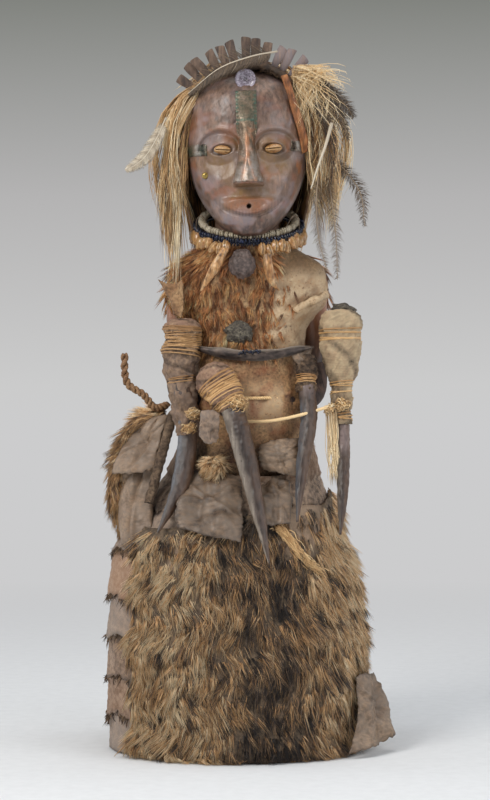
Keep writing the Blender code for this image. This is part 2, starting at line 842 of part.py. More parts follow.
def shell_string(name, first, last, count):
    """Shells threaded side by side on one cord, from angle first to angle last."""
    angles = [first + (last - first) * i / (count - 1) for i in range(count)]
    cord = [collar_place(a, 10, 9) for a in angles]
    string = tube(name, cord, [0.0028] * count, 4, "shell", steps=count - 1)
    shells = []
    for i, angle in enumerate(angles):
        outward = Vector((math.sin(angle), -math.cos(angle), 0))
        along_cord = Vector((math.cos(angle), math.sin(angle), 0))
        hang = Vector((0, 0, -1)) + outward * 0.30 + along_cord * 0.25 * math.sin(i * 2.1)
        hang.normalize()
        width = along_cord - hang * along_cord.dot(hang)
        width.normalize()
        centre = collar_place(angle, 12, 15 + 2 * math.sin(i * 1.9))
        axes = (
            width * (SHELL_WIDTH / 2),
            hang.cross(width) * (SHELL_WIDTH * 0.42),
            hang * (SHELL_LENGTH / 2),
        )
        shells.append(pebble("shell", centre, axes, "shell", 5, 4))
    return fuse(string, *shells)


def neck_pieces():
    pieces = [
        pebble("throat_pouch", at(-6, -66, 616),
               ((17 * MM, 0, 0), (0, 15 * MM, 0), (0, 0, 18 * MM)), "resin"),
        bead_collar("white_bead_collar", 0, 0, "bead_white"),
        bead_collar("blue_bead_collar", 8, 7, "bead_blue"),
        shell_string("shell_string_left", math.radians(-92), math.radians(-24), 7),
        shell_string("shell_string_right", math.radians(14), math.radians(88), 8),
    ]
    bone = [at(-27, -72, 635), at(-41, -76, 610), at(-58, -70, 582)]
    pieces.append(tube("bone_point", bone, [r * MM for r in (4.5, 6, 0.9)], 8, "tooth", flat=0.6))
    claw = [at(25, -76, 628), at(27, -80, 610), at(31, -78, 594), at(40, -72, 583)]
    pieces.append(tube("curved_tooth", claw, [r * MM for r in (5, 6, 4, 0.9)], 8, "tooth"))
    return pieces


# Horns, their bundles and the things tied in front of the belly

HORNS = {  # places in millimetres from the wrapped end to the tip, then radii there
    "horn_left": (((-82, -74, 470), (-74, -82, 410), (-82, -100, 345), (-110, -124, 284)),
                  (17, 13, 12, 1.5)),
    "horn_centre": (((-18, -110, 436), (-4, -122, 388), (12, -138, 320), (27, -160, 250)),
                    (15, 14, 10, 1.4)),
    "horn_right": (((74, -70, 468), (77, -84, 420), (68, -104, 360), (62, -128, 298)),
                   (11, 11, 8, 1.6)),
    "horn_far_right": (((119, -62, 414), (120, -72, 370), (119, -88, 325), (116, -104, 280)),
                       (10, 9, 7, 1.5)),
}
WRAPS = {  # places from the top down, then radii there
    "wrap_left": (((-81, -60, 546), (-81, -62, 535), (-82, -64, 510), (-84, -68, 488), (-82, -73, 471)),
                  (16, 25, 25, 21, 18)),
    "wrap_centre": (((-50, -92, 487), (-44, -96, 478), (-33, -100, 462), (-24, -105, 448), (-18, -109, 437)),
                    (12, 23, 26, 22, 16)),
    "wrap_far_right": (((118, -50, 556), (118, -52, 546), (118, -54, 510), (119, -58, 462), (119, -61, 415)),
                       (16, 27, 26, 16, 13)),
}


def horns_and_wraps():
    pieces = []
    for name, (places, radii) in HORNS.items():
        points = [at(*p) for p in places]
        pieces.append(tube(name, points, [r * MM for r in radii], 9, "horn", steps=7))
    for name, (places, radii) in WRAPS.items():
        points = [at(*p) for p in places]
        pieces.append(tube(name, points, [r * MM for r in radii], 10, "wrap", steps=7))
    return pieces


def iron_blade():
    """The thin crescent held across the belly, its ends leaning back."""
    grid = []
    for lift in (0.0, 0.5, 1.0):
        row = []
        for k in range(17):
            s = 2 * k / 16 - 1
            x = 6 + 78 * s
            low = 495 + 17 * s * s
            height = 12.5 * (1 - abs(s) ** 3.2) + 0.8
            row.append(at(x, -80 + 20 * abs(s) ** 2.2, low + height * lift))
        grid.append(row)
    return sheet("iron_blade", grid, BLADE_THICKNESS, "iron")


def tied_pieces():
    charge = pebble("belly_charge", at(-10, -66, 530),
                    ((17 * MM, 0, 0), (0, 9 * MM, 0), (0, 0, 14 * MM)), "resin")
    stick = [at(-92, -70, 430), at(-106, -80, 380), at(-122, -92, 318)]
    twist = [at(-99, -51, 439), at(-116, -58, 436), at(-130, -60, 452), at(-151, -58, 468), at(-154, -56, 503)]
    tie = [at(-8, -90, 420), at(30, -94, 421), at(70, -92, 429), at(111, -68, 440)]
    thong = [at(113, -34, 503), at(106, -20, 507), at(96, -8, 508), at(90, -2, 507)]
    twine = []
    for i in range(9):
        angle = math.radians(-34 + 68 * i / 8)
        half, depth, middle = along(HIDE, 449)
        twine.append(at(half * math.sin(angle), middle - (depth + 1.4) * math.cos(angle), 449))
    return [
        charge,
        iron_blade(),
        tube("wrapped_stick", stick, [STICK_RADIUS * 0.9, STICK_RADIUS, STICK_RADIUS * 0.8], 8, "wrap"),
        tube("hide_twist", twist, [TWIST_RADIUS * s for s in (1.3, 1.1, 1, 0.9, 0.7)], 7, "hide"),
        tube("tie_cord", tie, [TIE_RADIUS] * 4, 5, "raffia"),
        tube("arm_thong", thong, [TIE_RADIUS] * 4, 5, "leather"),
        tube("belly_twine", twine, [TIE_RADIUS] * 9, 5, "raffia", steps=12),
    ]


# Loose cloth, tail and strips

FLAPS = {
    "front_flap": (((-72, -84, 356), (-46, -96, 362), (-10, -100, 350)),
                   ((-88, -118, 318), (-50, -150, 316), (0, -132, 318)),
                   ((-86, -130, 292), (-50, -152, 280), (-8, -152, 276))),
    "belly_flap": (((16, -84, 392), (44, -92, 398), (64, -82, 398)),
                   ((14, -104, 376), (44, -112, 376), (68, -92, 378)),
                   ((20, -96, 362), (48, -108, 352), (62, -94, 352))),
    "side_flap": (((-92, -46, 428), (-112, -56, 424), (-128, -30, 414)),
                  ((-116, -60, 380), (-140, -72, 380), (-170, -40, 372)),
                  ((-120, -92, 262), (-142, -92, 252), (-158, -60, 262))),
    "skirt_corner": (((136, -84, 100), (158, -62, 104), (160, -28, 94)),
                     ((142, -98, 56), (170, -76, 60), (176, -36, 58)),
                     ((128, -116, 8), (174, -92, 14), (188, -44, 24))),
}


def cloth_flaps():
    return [
        sheet(name, patch_grid(corners, 5, 5), FLAP_WALL, "cloth")
        for name, corners in FLAPS.items()
    ]


def brow_strap():
    strip = ((46, -56, 852), (56, -56, 822), (66, -54, 792), (74, -42, 757))
    return leaf("brow_strap", strip, lambda t: 4.5 + 1.8 * t, (0.55, -0.83, 0), STRAP_THICKNESS, "leather")


def fur_tail():
    tail = [
        at(-104, -48, 430), at(-132, -52, 420), at(-160, -44, 380), at(-166, -42, 330),
        at(-160, -44, 286),
    ]
    return tube("fur_tail", tail, [r * MM for r in (9, 12, 12, 13, 6)], 8, "pelt", flat=0.7)


def build():
    clear_scene()
    pieces = [carved_figure(), hide_body(), cloth_skirt(), pelt_skirt()]
    pieces += face_fittings()
    pieces.append(headband())
    pieces += [crest_blade(i) for i in range(CREST_BLADES)]
    pieces += neck_pieces()
    pieces.append(brow_strap())
    pieces.append(back_locks())
    pieces.append(fibre_lock("left_lock", LEFT_LOCK, 8, 8))
    pieces.append(fibre_lock("right_lock", RIGHT_LOCK, 6, 8))
    pieces += feathers()
    pieces += horns_and_wraps()
    pieces += tied_pieces()
    pieces += cloth_flaps()
    pieces.append(fur_tail())
    rooms = []
    for piece in pieces:
        settle(piece, rooms)
    for room, _ in rooms:
        bpy.data.objects.remove(room, do_unlink=True)


build()
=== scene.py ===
# A carved power figure dressed in fur, hide, cloth, horns, shells, metal, fibre hair and feathers.
# Places are written in millimetres: x to the viewer's right, y away from the viewer, z up from the floor.

import math
import bmesh
import bpy
import numpy as np
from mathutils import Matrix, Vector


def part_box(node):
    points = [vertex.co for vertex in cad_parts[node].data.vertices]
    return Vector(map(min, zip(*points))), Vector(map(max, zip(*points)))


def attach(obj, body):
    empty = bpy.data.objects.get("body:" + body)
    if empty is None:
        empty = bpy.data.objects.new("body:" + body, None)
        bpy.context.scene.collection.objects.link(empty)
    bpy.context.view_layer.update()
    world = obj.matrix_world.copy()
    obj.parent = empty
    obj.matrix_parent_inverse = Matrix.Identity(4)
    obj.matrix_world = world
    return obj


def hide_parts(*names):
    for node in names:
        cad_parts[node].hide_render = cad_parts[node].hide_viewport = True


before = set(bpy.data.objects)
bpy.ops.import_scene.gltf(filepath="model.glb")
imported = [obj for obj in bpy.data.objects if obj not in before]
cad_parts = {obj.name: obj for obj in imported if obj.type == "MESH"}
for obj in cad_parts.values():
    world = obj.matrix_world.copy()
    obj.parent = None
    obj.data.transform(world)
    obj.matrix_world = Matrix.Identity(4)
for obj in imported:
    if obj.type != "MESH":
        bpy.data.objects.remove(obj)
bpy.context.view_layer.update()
print("frame loaded")


# Numbers and curves

millimetre = 0.001
fullTurn = 2 * math.pi


def clipped(value):
    return np.clip(value, 0, 1)


def evenly(count):
    return np.linspace(0, 1, count)


def turnsOf(count):
    return np.arange(count) * fullTurn / count


def stacked(*parts):
    return np.stack(np.broadcast_arrays(*parts), -1)


def rounded(value, power):
    # a sine or cosine that goes round an oval, squarer with more power
    return np.sign(value) * np.abs(value) ** (2 / power)


def rise(low, high, value):
    # 0 at low and 1 at high, eased at both ends
    t = clipped((value - low) / (high - low))
    return t * t * (3 - 2 * t)


def hump(distance, reach):
    # 1 in the middle, falling to 0 at reach
    t = np.minimum(np.abs(distance) / reach, 1)
    return (1 - t * t) ** 2


def blob(across, up, wide, high):
    return hump(np.hypot(across / wide, up / high), 1)


def follow(stations, places):
    # the values at places of rows (place, value, ...), joined by a smooth curve
    rows = np.asarray(stations, float)
    keys, values = rows[:, 0], rows[:, 1:]
    shape = np.shape(places)
    p = np.clip(np.ravel(places).astype(float), keys[0], keys[-1])
    i = np.clip(np.searchsorted(keys, p, side="left") - 1, 0, len(keys) - 2)
    before, after = np.maximum(i - 1, 0), np.minimum(i + 2, len(keys) - 1)
    span = (keys[i + 1] - keys[i])[:, None]
    t = (p - keys[i])[:, None] / span
    slopeIn = (values[i + 1] - values[before]) / (keys[i + 1] - keys[before])[:, None] * span
    slopeOut = (values[after] - values[i]) / (keys[after] - keys[i])[:, None] * span
    made = (values[i] * (2 * t**3 - 3 * t**2 + 1) + slopeIn * (t**3 - 2 * t**2 + t)
            + values[i + 1] * (3 * t**2 - 2 * t**3) + slopeOut * (t**3 - t**2))
    return np.moveaxis(made.reshape(shape + (values.shape[1],)), -1, 0)


def curve(points, shares):
    # places at shares (0 to 1) of the smooth curve through the points
    points = np.asarray(points, float)
    rows = np.column_stack([np.arange(len(points)), points])
    return np.moveaxis(follow(rows, np.asarray(shares, float) * (len(points) - 1)), 0, -1)


def eased(values, shares):
    return curve([(value,) for value in values], shares)[:, 0]


def ripple(places, size, seed, octaves=3):
    # a smooth uneven value, about -1 to 1, whose bumps are roughly size apart
    draw = np.random.default_rng(seed)
    total = np.zeros(places.shape[:-1])
    for octave in range(octaves):
        for wave in range(5):
            way = draw.normal(size=3)
            way *= fullTurn / size * 2**octave * (0.6 + 0.8 * draw.random()) / np.linalg.norm(way)
            total += np.sin(places @ way + draw.random() * fullTurn) * 0.62**octave
    return total / 3.2


def unit(vectors):
    return vectors / np.maximum(np.linalg.norm(vectors, axis=-1, keepdims=True), 1e-12)


def filled(marks, like):
    return {name: value + 0 * like for name, value in marks.items()}


def limited(marks):
    # marks kept from 0 to 1, apart from the measures along the cloth
    return {name: value if name in ("across", "down") else clipped(value) for name, value in marks.items()}


# Meshes

def gridFaces(rows, columns, wrap=False, start=0):
    i, j = np.meshgrid(np.arange(rows - 1), np.arange(columns if wrap else columns - 1), indexing="ij")
    a, b = i * columns + j + start, i * columns + (j + 1) % columns + start
    quads = stacked(a, b, b + columns, a + columns).reshape(-1, 4)
    return np.concatenate([quads[:, [0, 1, 2]], quads[:, [0, 2, 3]]])


def fan(ring, centre):
    ring = np.asarray(ring)
    return np.column_stack([np.roll(ring, -1), ring, np.full(len(ring), centre)])


def cappedFaces(rows, sides):
    # the faces of rings one above another, with a fan at each end
    ring, count = np.arange(sides), rows * sides
    return np.concatenate([gridFaces(rows, sides, True), fan(ring, count),
                           fan(ring[::-1] + count - sides, count + 1)])


def doubled(values):
    return {name: np.tile(np.ravel(value), 2) for name, value in (values or {}).items()}


def joined(parts):
    # parts are (places, faces, values); gives one such part
    places, faces, values, start = [], [], {}, 0
    names = sorted({name for part in parts for name in part[2]})
    for part in parts:
        places.append(np.reshape(part[0], (-1, 3)))
        faces.append(part[1] + start)
        count = len(places[-1])
        for name in names:
            value = part[2].get(name, 0.0)
            values.setdefault(name, []).append(np.broadcast_to(np.ravel(value), (count,))
                                               if np.size(value) == 1 else np.ravel(value))
        start += count
    return np.concatenate(places), np.concatenate(faces), {n: np.concatenate(v) for n, v in values.items()}


def placed(name, data):
    thing = bpy.data.objects.new(name, data)
    bpy.context.scene.collection.objects.link(thing)
    return thing


def makePiece(name, part, finish, nodes=(), settle=True, sharp=None):
    places, faces, values = part
    places = np.reshape(places, (-1, 3)) * millimetre
    mesh = bpy.data.meshes.new(name)
    mesh.vertices.add(len(places))
    mesh.vertices.foreach_set("co", places.astype(np.float32).ravel())
    mesh.loops.add(faces.size)
    mesh.loops.foreach_set("vertex_index", faces.astype(np.int32).ravel())
    mesh.polygons.add(len(faces))
    mesh.polygons.foreach_set("loop_start", np.arange(0, faces.size, 3, dtype=np.int32))
    mesh.update(calc_edges=True)
    if settle:
        work = bmesh.new()
        work.from_mesh(mesh)
        bmesh.ops.recalc_face_normals(work, faces=work.faces)
        work.to_mesh(mesh)
        work.free()
    for key, value in values.items():
        mesh.attributes.new(key, "FLOAT", "POINT").data.foreach_set("value", np.ravel(value).astype(np.float32))
    mesh.polygons.foreach_set("use_smooth", np.full(len(faces), True))
    if sharp:
        mesh.set_sharp_from_angle(angle=math.radians(sharp))
    mesh.materials.append(finish)
    piece = placed(name, mesh)
    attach(piece, "root")
    if nodes:
        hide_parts(*nodes)
    return piece


def slab(grid, thickness, values=None, rounding=0.0):
    # a closed sheet: the grid pushed half the thickness to each side, with its values on both faces
    rows, columns = grid.shape[:2]
    down, across = np.gradient(grid, axis=0), np.gradient(grid, axis=1)
    push = unit(np.cross(down, across)) * np.broadcast_to(np.asarray(thickness) / 2, (rows, columns))[..., None]
    if rounding:
        edge = np.minimum(np.minimum(np.arange(rows), np.arange(rows)[::-1])[:, None],
                          np.minimum(np.arange(columns), np.arange(columns)[::-1])[None, :])
        push = push * np.where(edge == 0, 1 - rounding, 1)[..., None]
    count = rows * columns
    front = gridFaces(rows, columns)
    index = np.arange(count).reshape(rows, columns)
    rim = np.concatenate([index[0], index[1:, -1], index[-1, -2::-1], index[-2:0:-1, 0]])
    after = np.roll(rim, -1)
    sides = np.concatenate([np.column_stack([rim, after, after + count]),
                            np.column_stack([rim, after + count, rim + count])])
    places = np.concatenate([(grid + push).reshape(-1, 3), (grid - push).reshape(-1, 3)])
    return places, np.concatenate([front, front[:, ::-1] + count, sides[:, ::-1]]), doubled(values)


def ringsAlong(path, radii, sides, flat=1.0):
    # rings square to a path; radii is one value a ring, or one a corner
    count = len(path)
    ahead = unit(np.gradient(path, axis=0))
    side = np.array([1.0, 0.0, 0.0])
    turn = turnsOf(sides)
    radii = np.asarray(radii, float)
    radii = np.broadcast_to(radii.reshape(count, -1) if radii.ndim else radii, (count, sides))
    rings = np.empty((count, sides, 3))
    for i in range(count):
        side = unit(side - ahead[i] * (side @ ahead[i]))
        other = np.cross(ahead[i], side)
        rings[i] = (path[i] + (side * np.cos(turn)[:, None] + other * flat * np.sin(turn)[:, None])
                    * radii[i][:, None])
    return rings


def tube(path, radii, sides, flat=1.0, values=None, shaped=None):
    # a closed tube; shaped changes the rings before they are skinned
    path = np.asarray(path, float)
    rings = ringsAlong(path, radii, sides, flat)
    if shaped is not None:
        rings = shaped(rings)
    rows = len(rings)
    share = np.repeat(evenly(rows), sides)
    places = np.concatenate([rings.reshape(-1, 3), rings[0].mean(0)[None], rings[-1].mean(0)[None]])
    faces = cappedFaces(rows, sides)
    made = {"along": np.concatenate([share, [0, 1]])}
    for key, value in (values or {}).items():
        value = np.broadcast_to(np.asarray(value, float).reshape(-1) if np.size(value) > 1 else value,
                                (rows * sides,))
        made[key] = np.concatenate([value, [value[0], value[-1]]])
    return places, faces, made


def strands(paths, radii, values=None):
    # many fine three-sided tapering fibres: paths (fibres, steps, 3), radii (fibres, steps - 1)
    sides = 3
    fibres, steps = paths.shape[:2]
    ahead = unit(np.gradient(paths, axis=1))
    reference = np.where(np.abs(ahead[..., 1:2]) > 0.8, [[1.0, 0, 0]], [[0, 1.0, 0]])
    side = unit(np.cross(ahead, reference))
    other = np.cross(ahead, side)
    body = steps - 1
    radii = np.broadcast_to(radii, (fibres, body))
    turn = turnsOf(sides)
    around = side[:, :body, None] * np.cos(turn)[:, None] + other[:, :body, None] * np.sin(turn)[:, None]
    rings = paths[:, :body, None] + around * radii[:, :, None, None]
    places = np.concatenate([rings.reshape(fibres, -1, 3), paths[:, -1:]], axis=1)
    each = body * sides + 1
    face = [[0, 2, 1]]
    for i in range(body - 1):
        for k in range(sides):
            a, b = i * sides + k, i * sides + (k + 1) % sides
            face += [[a, b, b + sides], [a, b + sides, a + sides]]
    for k in range(sides):
        face.append([(body - 1) * sides + k, (body - 1) * sides + (k + 1) % sides, each - 1])
    faces = (np.asarray(face)[None] + np.arange(fibres)[:, None, None] * each).reshape(-1, 3)
    made = {"along": np.tile(np.concatenate([np.repeat(np.arange(body) / body, sides), [1.0]]), fibres)}
    for key, value in (values or {}).items():
        made[key] = np.repeat(np.broadcast_to(value, (fibres,)), each)
    return places.reshape(-1, 3), faces, made


def betweenRings(rings, row, column):
    # the place at a row and column that need not be whole
    i, j = row.astype(int), column.astype(int) % rings.shape[1]
    k = (j + 1) % rings.shape[1]
    a, b = (row - i)[..., None], (column % 1)[..., None]
    return ((rings[i, j] * (1 - b) + rings[i, k] * b) * (1 - a) + (rings[i + 1, j] * (1 - b) + rings[i + 1, k] * b)
            * a)


def twine(path, radius, turns, plies=2, sides=5, seed=1, values=None):
    # a cord of twisted plies along a path
    draw = np.random.default_rng(seed)
    path = np.asarray(path, float)
    rings = ringsAlong(path, np.full(len(path), radius * 0.55), 24)
    parts = []
    for ply in range(plies):
        place = (np.linspace(0, turns, len(path)) + ply / plies) * 24
        low = np.floor(place).astype(int) % 24
        part = (place % 1)[:, None]
        line = rings[np.arange(len(path)), low] * (1 - part) + rings[np.arange(len(path)), (low + 1) % 24] * part
        parts.append(tube(line, radius * 0.56 * (1 + 0.08 * draw.normal(size=len(path))), sides,
                          values={"tone": draw.random(), **(values or {})}))
    return joined(parts)


def lump(centre, half, rows=24, columns=32, shape=None, marks=None):
    # a closed rounded body; shape(directions) gives how far out each point lies
    v = np.linspace(0, math.pi, rows)[1:-1, None]
    u = turnsOf(columns)[None]
    way = stacked(np.sin(v) * np.cos(u), np.sin(v) * np.sin(u), np.cos(v) + 0 * u)
    way = np.concatenate([way.reshape(-1, 3), [[0, 0, 1.0]], [[0, 0, -1.0]]])
    out = np.ones(len(way)) if shape is None else shape(way)
    places = way * out[:, None] @ np.asarray(half, float) + np.asarray(centre, float)
    return places, cappedFaces(rows - 2, columns), marks(way) if marks else {}


def scatter(part, centres, axes, values=None):
    # copies of a small body, each with its own centre and three axes
    places, faces, own = part
    made = np.einsum("pk,nkj->npj", places, axes) + centres[:, None]
    count, each = len(centres), len(places)
    every = {k: np.tile(np.ravel(v), count) for k, v in own.items()}
    every.update({k: np.repeat(v, each) for k, v in (values or {}).items()})
    return made.reshape(-1, 3), (faces[None] + np.arange(count)[:, None, None] * each).reshape(-1, 3), every


# Finishes: colours are given as they look on a screen, 0 to 255

def paint(red, green, blue):
    return (*[(c / 255 / 12.92 if c <= 10 else ((c / 255 + 0.055) / 1.055) ** 2.4) for c in (red, green, blue)],
            1.0)


def put(tree, kind, inputs=(), **settings):
    node = tree.nodes.new("ShaderNode" + kind)
    for key, value in settings.items():
        setattr(node, key, value)
    for key, value in dict(inputs).items():
        if isinstance(value, bpy.types.NodeSocket):
            tree.links.new(value, node.inputs[key])
        else:
            node.inputs[key].default_value = value
    return node


def noiseOf(tree, scale, detail=5, stretch=(1, 1, 1), distortion=0.0):
    place = put(tree, "TexCoord").outputs["Object"]
    place = put(tree, "Mapping", {"Vector": place, "Scale": stretch}).outputs[0]
    return put(tree, "TexNoise", {"Vector": place, "Scale": scale, "Detail": detail, "Roughness": 0.6,
                                  "Distortion": distortion}).outputs[0]


def spread(tree, value, stops):
    node = put(tree, "ValToRGB", {0: value})
    ramp = node.color_ramp
    while len(ramp.elements) < len(stops):
        ramp.elements.new(0.5)
    for element, (place, colour) in zip(ramp.elements, stops):
        element.position = place
        element.color = paint(*colour)
    return node.outputs[0]


def blend(tree, amount, first, second, way="MIX"):
    return put(tree, "Mix", {0: amount, 6: first, 7: second}, data_type="RGBA", blend_type=way).outputs[2]


def calc(tree, operation, *values):
    return put(tree, "Math", dict(enumerate(values)), operation=operation).outputs[0]


def between(tree, value, low, high, fromLow=0.3, fromHigh=0.7):
    return put(tree, "MapRange", {0: value, 1: fromLow, 2: fromHigh, 3: low, 4: high}).outputs[0]


def mark(tree, name):
    return put(tree, "Attribute", attribute_name=name).outputs["Fac"]


def startFinish(name, look):
    material = bpy.data.materials.new(name)
    material.use_nodes = True
    tree = material.node_tree
    shader = tree.nodes["Principled BSDF"]
    for key, value in look.get("sockets", {}).items():
        shader.inputs[key].default_value = value
    return material, tree, shader


def finishLinks(tree, shader, colour, rough, height, depth):
    tree.links.new(colour, shader.inputs["Base Color"])
    tree.links.new(rough, shader.inputs["Roughness"])
    normal = put(tree, "Bump", {"Strength": 0.9, "Distance": depth * millimetre, "Height": height}).outputs[0]
    tree.links.new(normal, shader.inputs["Normal"])


def shaded(tree, colour, value, stops):
    return blend(tree, 1.0, colour, spread(tree, value, stops), "MULTIPLY")


def stained(tree, colour, look, noise, fade):
    # each stain where the mesh marks it, broken up by the noise
    for stain, stainColour, strength in look.get("stains", ()):
        uneven = between(tree, noise, strength, strength * fade, 0.35, 0.65)
        colour = blend(tree, calc(tree, "MULTIPLY", mark(tree, stain), uneven), colour, paint(*stainColour))
    return colour


def natural(name, look):
    # wood, hide, horn, metal and such: blotches, fine grain, stains where the mesh marks them
    material, tree, shader = startFinish(name, look)
    blotch = noiseOf(tree, look["blotches"], 5, look.get("stretch", (1, 1, 1)), 0.5)
    grain = noiseOf(tree, look["grain"], 6, look.get("grainStretch", (1, 1, 1)), 0.2)
    colour = shaded(tree, spread(tree, blotch, look["colours"]), grain,
                    [(0.30, (look.get("grainDark", 120),) * 3), (0.62, (255, 255, 255))])
    colour = stained(tree, colour, look, grain, 0.45)
    specks = look.get("specks")
    if specks:
        dots = noiseOf(tree, specks["scale"], 2)
        colour = blend(tree, between(tree, dots, 0.0, specks["strength"], specks["from"], specks["from"] + 0.06),
                       colour, paint(*specks["colour"]))
    relief = calc(tree, "ADD", calc(tree, "MULTIPLY", blotch, look.get("swell", 1.0)), grain)
    finishLinks(tree, shader, colour, between(tree, grain, *look["rough"]), relief, look["relief"])
    return material


def fibrous(name, look):
    # fur, hair, raffia: colour by each fibre's own tone, darker or lighter towards its tip
    material, tree, shader = startFinish(name, look)
    colour = shaded(tree, spread(tree, mark(tree, "tone"), look["tones"]), mark(tree, "along"), look["length"])
    fine = noiseOf(tree, look.get("grain", 900), 3)
    colour = blend(tree, between(tree, fine, 0.0, look.get("dust", 0.25)), colour, paint(*look["dustColour"]))
    finishLinks(tree, shader, colour, between(tree, fine, *look["rough"]), fine, 0.08)
    return material


def woven(name, look):
    # cloth: threads over and under by the mesh's own measures across and down, in millimetres
    material, tree, shader = startFinish(name, look)
    over, under = [calc(tree, "ABSOLUTE",
                        calc(tree, "SINE", calc(tree, "MULTIPLY", mark(tree, way), fullTurn / look["thread"])))
                   for way in ("across", "down")]
    weave = calc(tree, "MULTIPLY", calc(tree, "ADD", over, under), 0.5)
    blotch = noiseOf(tree, look["blotches"], 6, (1, 1, 1), 0.6)
    grime = noiseOf(tree, look["grain"], 5)
    colour = shaded(tree, spread(tree, blotch, look["colours"]), weave,
                    [(0.15, (110, 110, 110)), (0.7, (255, 255, 255))])
    colour = shaded(tree, colour, grime, [(0.33, (135, 130, 128)), (0.6, (255, 255, 255))])
    colour = stained(tree, colour, look, grime, 0.5)
    finishLinks(tree, shader, colour, between(tree, grime, 0.95, 0.75), calc(tree, "ADD", weave, grime),
                look["relief"])
    return material


# Camera, floor, backdrop and light

view = {"height": 600, "distance": 3545, "aimX": -2.5, "aimZ": 442.7, "lens": 125}
camera = placed("camera", bpy.data.cameras.new("camera"))
camera.data.lens = view["lens"]
camera.data.sensor_width = 36
camera.location = (view["aimX"] * millimetre, -view["distance"] * millimetre, view["height"] * millimetre)
drop = math.atan2(view["height"] - view["aimZ"], view["distance"])
camera.rotation_euler = (math.pi / 2 - drop, 0, 0)
camera.data.clip_start, camera.data.clip_end = 0.05, 60
bpy.context.scene.camera = camera
bpy.context.scene.view_settings.view_transform = "Standard"
bpy.context.scene.view_settings.look = "None"


def studio():
    # the wall stands far enough away for a look from behind
    room = {"floorFront": -9000, "curveStart": 7200, "wall": 8000, "top": 7000, "half": 9000}
    bend, arc = room["wall"] - room["curveStart"], np.linspace(0.05, math.pi / 2, 24)
    depth = np.concatenate([np.linspace(room["floorFront"], room["curveStart"], 30),
                            room["curveStart"] + bend * np.sin(arc), np.full(20, room["wall"])])
    height = np.concatenate([np.zeros(30), bend * (1 - np.cos(arc)), np.linspace(bend * 1.05, room["top"], 20)])
    across = np.linspace(-room["half"], room["half"], 13)
    grid = stacked(across[None, :], depth[:, None], height[:, None])
    material, tree, shader = startFinish("studioPaper", {"sockets": {"Roughness": 0.9, "Specular IOR Level": 0.1}})
    place = put(tree, "SeparateXYZ", {0: put(tree, "TexCoord").outputs["Object"]})
    # painted light: the wall glows, its grey darkening towards the top to stand for the falloff of the studio
    # light; the floor near the figure takes the lamps' light and blends into the glow further back
    wall = spread(tree, between(tree, place.outputs["Z"], 0, 1, -0.1, 2.1),
                  [(0.045, (204, 204, 205)), (0.119, (203, 203, 203)), (0.469, (180, 179, 179)),
                   (0.859, (126, 128, 123))])
    glow = put(tree, "Emission", {"Color": wall, "Strength": 1.0}).outputs[0]
    paper = noiseOf(tree, 60, 3)
    tree.links.new(spread(tree, paper, [(0.3, (226, 228, 230)), (0.7, (232, 234, 236))]),
                   shader.inputs["Base Color"])
    away = between(tree, place.outputs["Y"], 0.0, 1.0, 0.25, 1.9)
    both = put(tree, "MixShader", {0: away, 1: shader.outputs[0], 2: glow}).outputs[0]
    tree.links.new(both, tree.nodes["Material Output"].inputs[0])
    mesh = bpy.data.meshes.new("studioPaper")
    mesh.from_pydata((grid.reshape(-1, 3) * millimetre).tolist(), [], gridFaces(*grid.shape[:2])[:, ::-1].tolist())
    mesh.polygons.foreach_set("use_smooth", [True] * len(mesh.polygons))
    mesh.materials.append(material)
    placed("studioPaper", mesh)
    lamps = {
        "keyLamp": {"at": (-1.7, -2.3, 2.3), "size": 1.3, "power": 66, "colour": (1.0, 0.97, 0.93)},
        "fillLamp": {"at": (2.3, -2.0, 1.3), "size": 1.9, "power": 30, "colour": (0.95, 0.97, 1.0)},
        "topLamp": {"at": (0.2, -0.2, 2.7), "size": 1.6, "power": 17, "colour": (1.0, 0.99, 0.97)},
        "leftLamp": {"at": (-2.3, 0.3, 1.0), "size": 1.2, "power": 12, "colour": (0.92, 0.96, 1.0)},
        "rightLamp": {"at": (2.2, 0.7, 1.1), "size": 1.2, "power": 10, "colour": (0.95, 0.97, 1.0)},
    }
    for name, lamp in lamps.items():
        light = bpy.data.lights.new(name, "AREA")
        light.energy, light.size, light.color = lamp["power"], lamp["size"], lamp["colour"]
        lightObject = placed(name, light)
        lightObject.location = lamp["at"]
        aim = np.array([0, 0, 0.48]) - np.array(lamp["at"])
        lightObject.rotation_euler = (math.atan2(math.hypot(aim[0], aim[1]), -aim[2]), 0,
                                      math.atan2(-aim[0], aim[1]))
    world = bpy.data.worlds.new("studioAir")
    world.use_nodes = True
    for socket, value in enumerate([(0.80, 0.82, 0.85, 1), 0.42]):
        world.node_tree.nodes["Background"].inputs[socket].default_value = value
    bpy.context.scene.world = world


studio()
print("studio ready")


# The carved head

headMiddle, headRoll = 3.5, math.radians(-1.6)
headStations = [  # height, half width, depth to the front, depth to the back, y of the middle
    (650, 10, 9, 9, -52), (653, 20, 17, 17, -50), (660, 31, 28, 32, -43), (672, 43, 42, 50, -33),
    (690, 56, 57, 66, -20), (715, 68, 69, 76, -8), (745, 76, 76, 82, -1), (775, 79, 79, 86, 3),
    (803, 77, 78, 86, 4), (827, 70, 72, 80, 4), (845, 58, 61, 68, 5), (858, 42, 45, 50, 6),
    (866, 22, 25, 28, 7), (868, 6, 7, 8, 7),
]
facePower = 2.35
eye = {"out": 32, "up": 759, "lidHalf": 27, "lidRise": 25, "recess": 7.0}
nose = {"top": 792, "base": 716, "narrow": 9, "flare": 11, "height": 21}
mouth = {"up": 688, "half": 34, "lip": 11, "hole": 2.9, "tooth": 3.3}


def onHead(x, y, z):
    # from the upright head to its place on the neck
    c, s = math.cos(headRoll), math.sin(headRoll)
    return stacked(c * x + s * (z - 650) + headMiddle, y, -s * x + c * (z - 650) + 650)


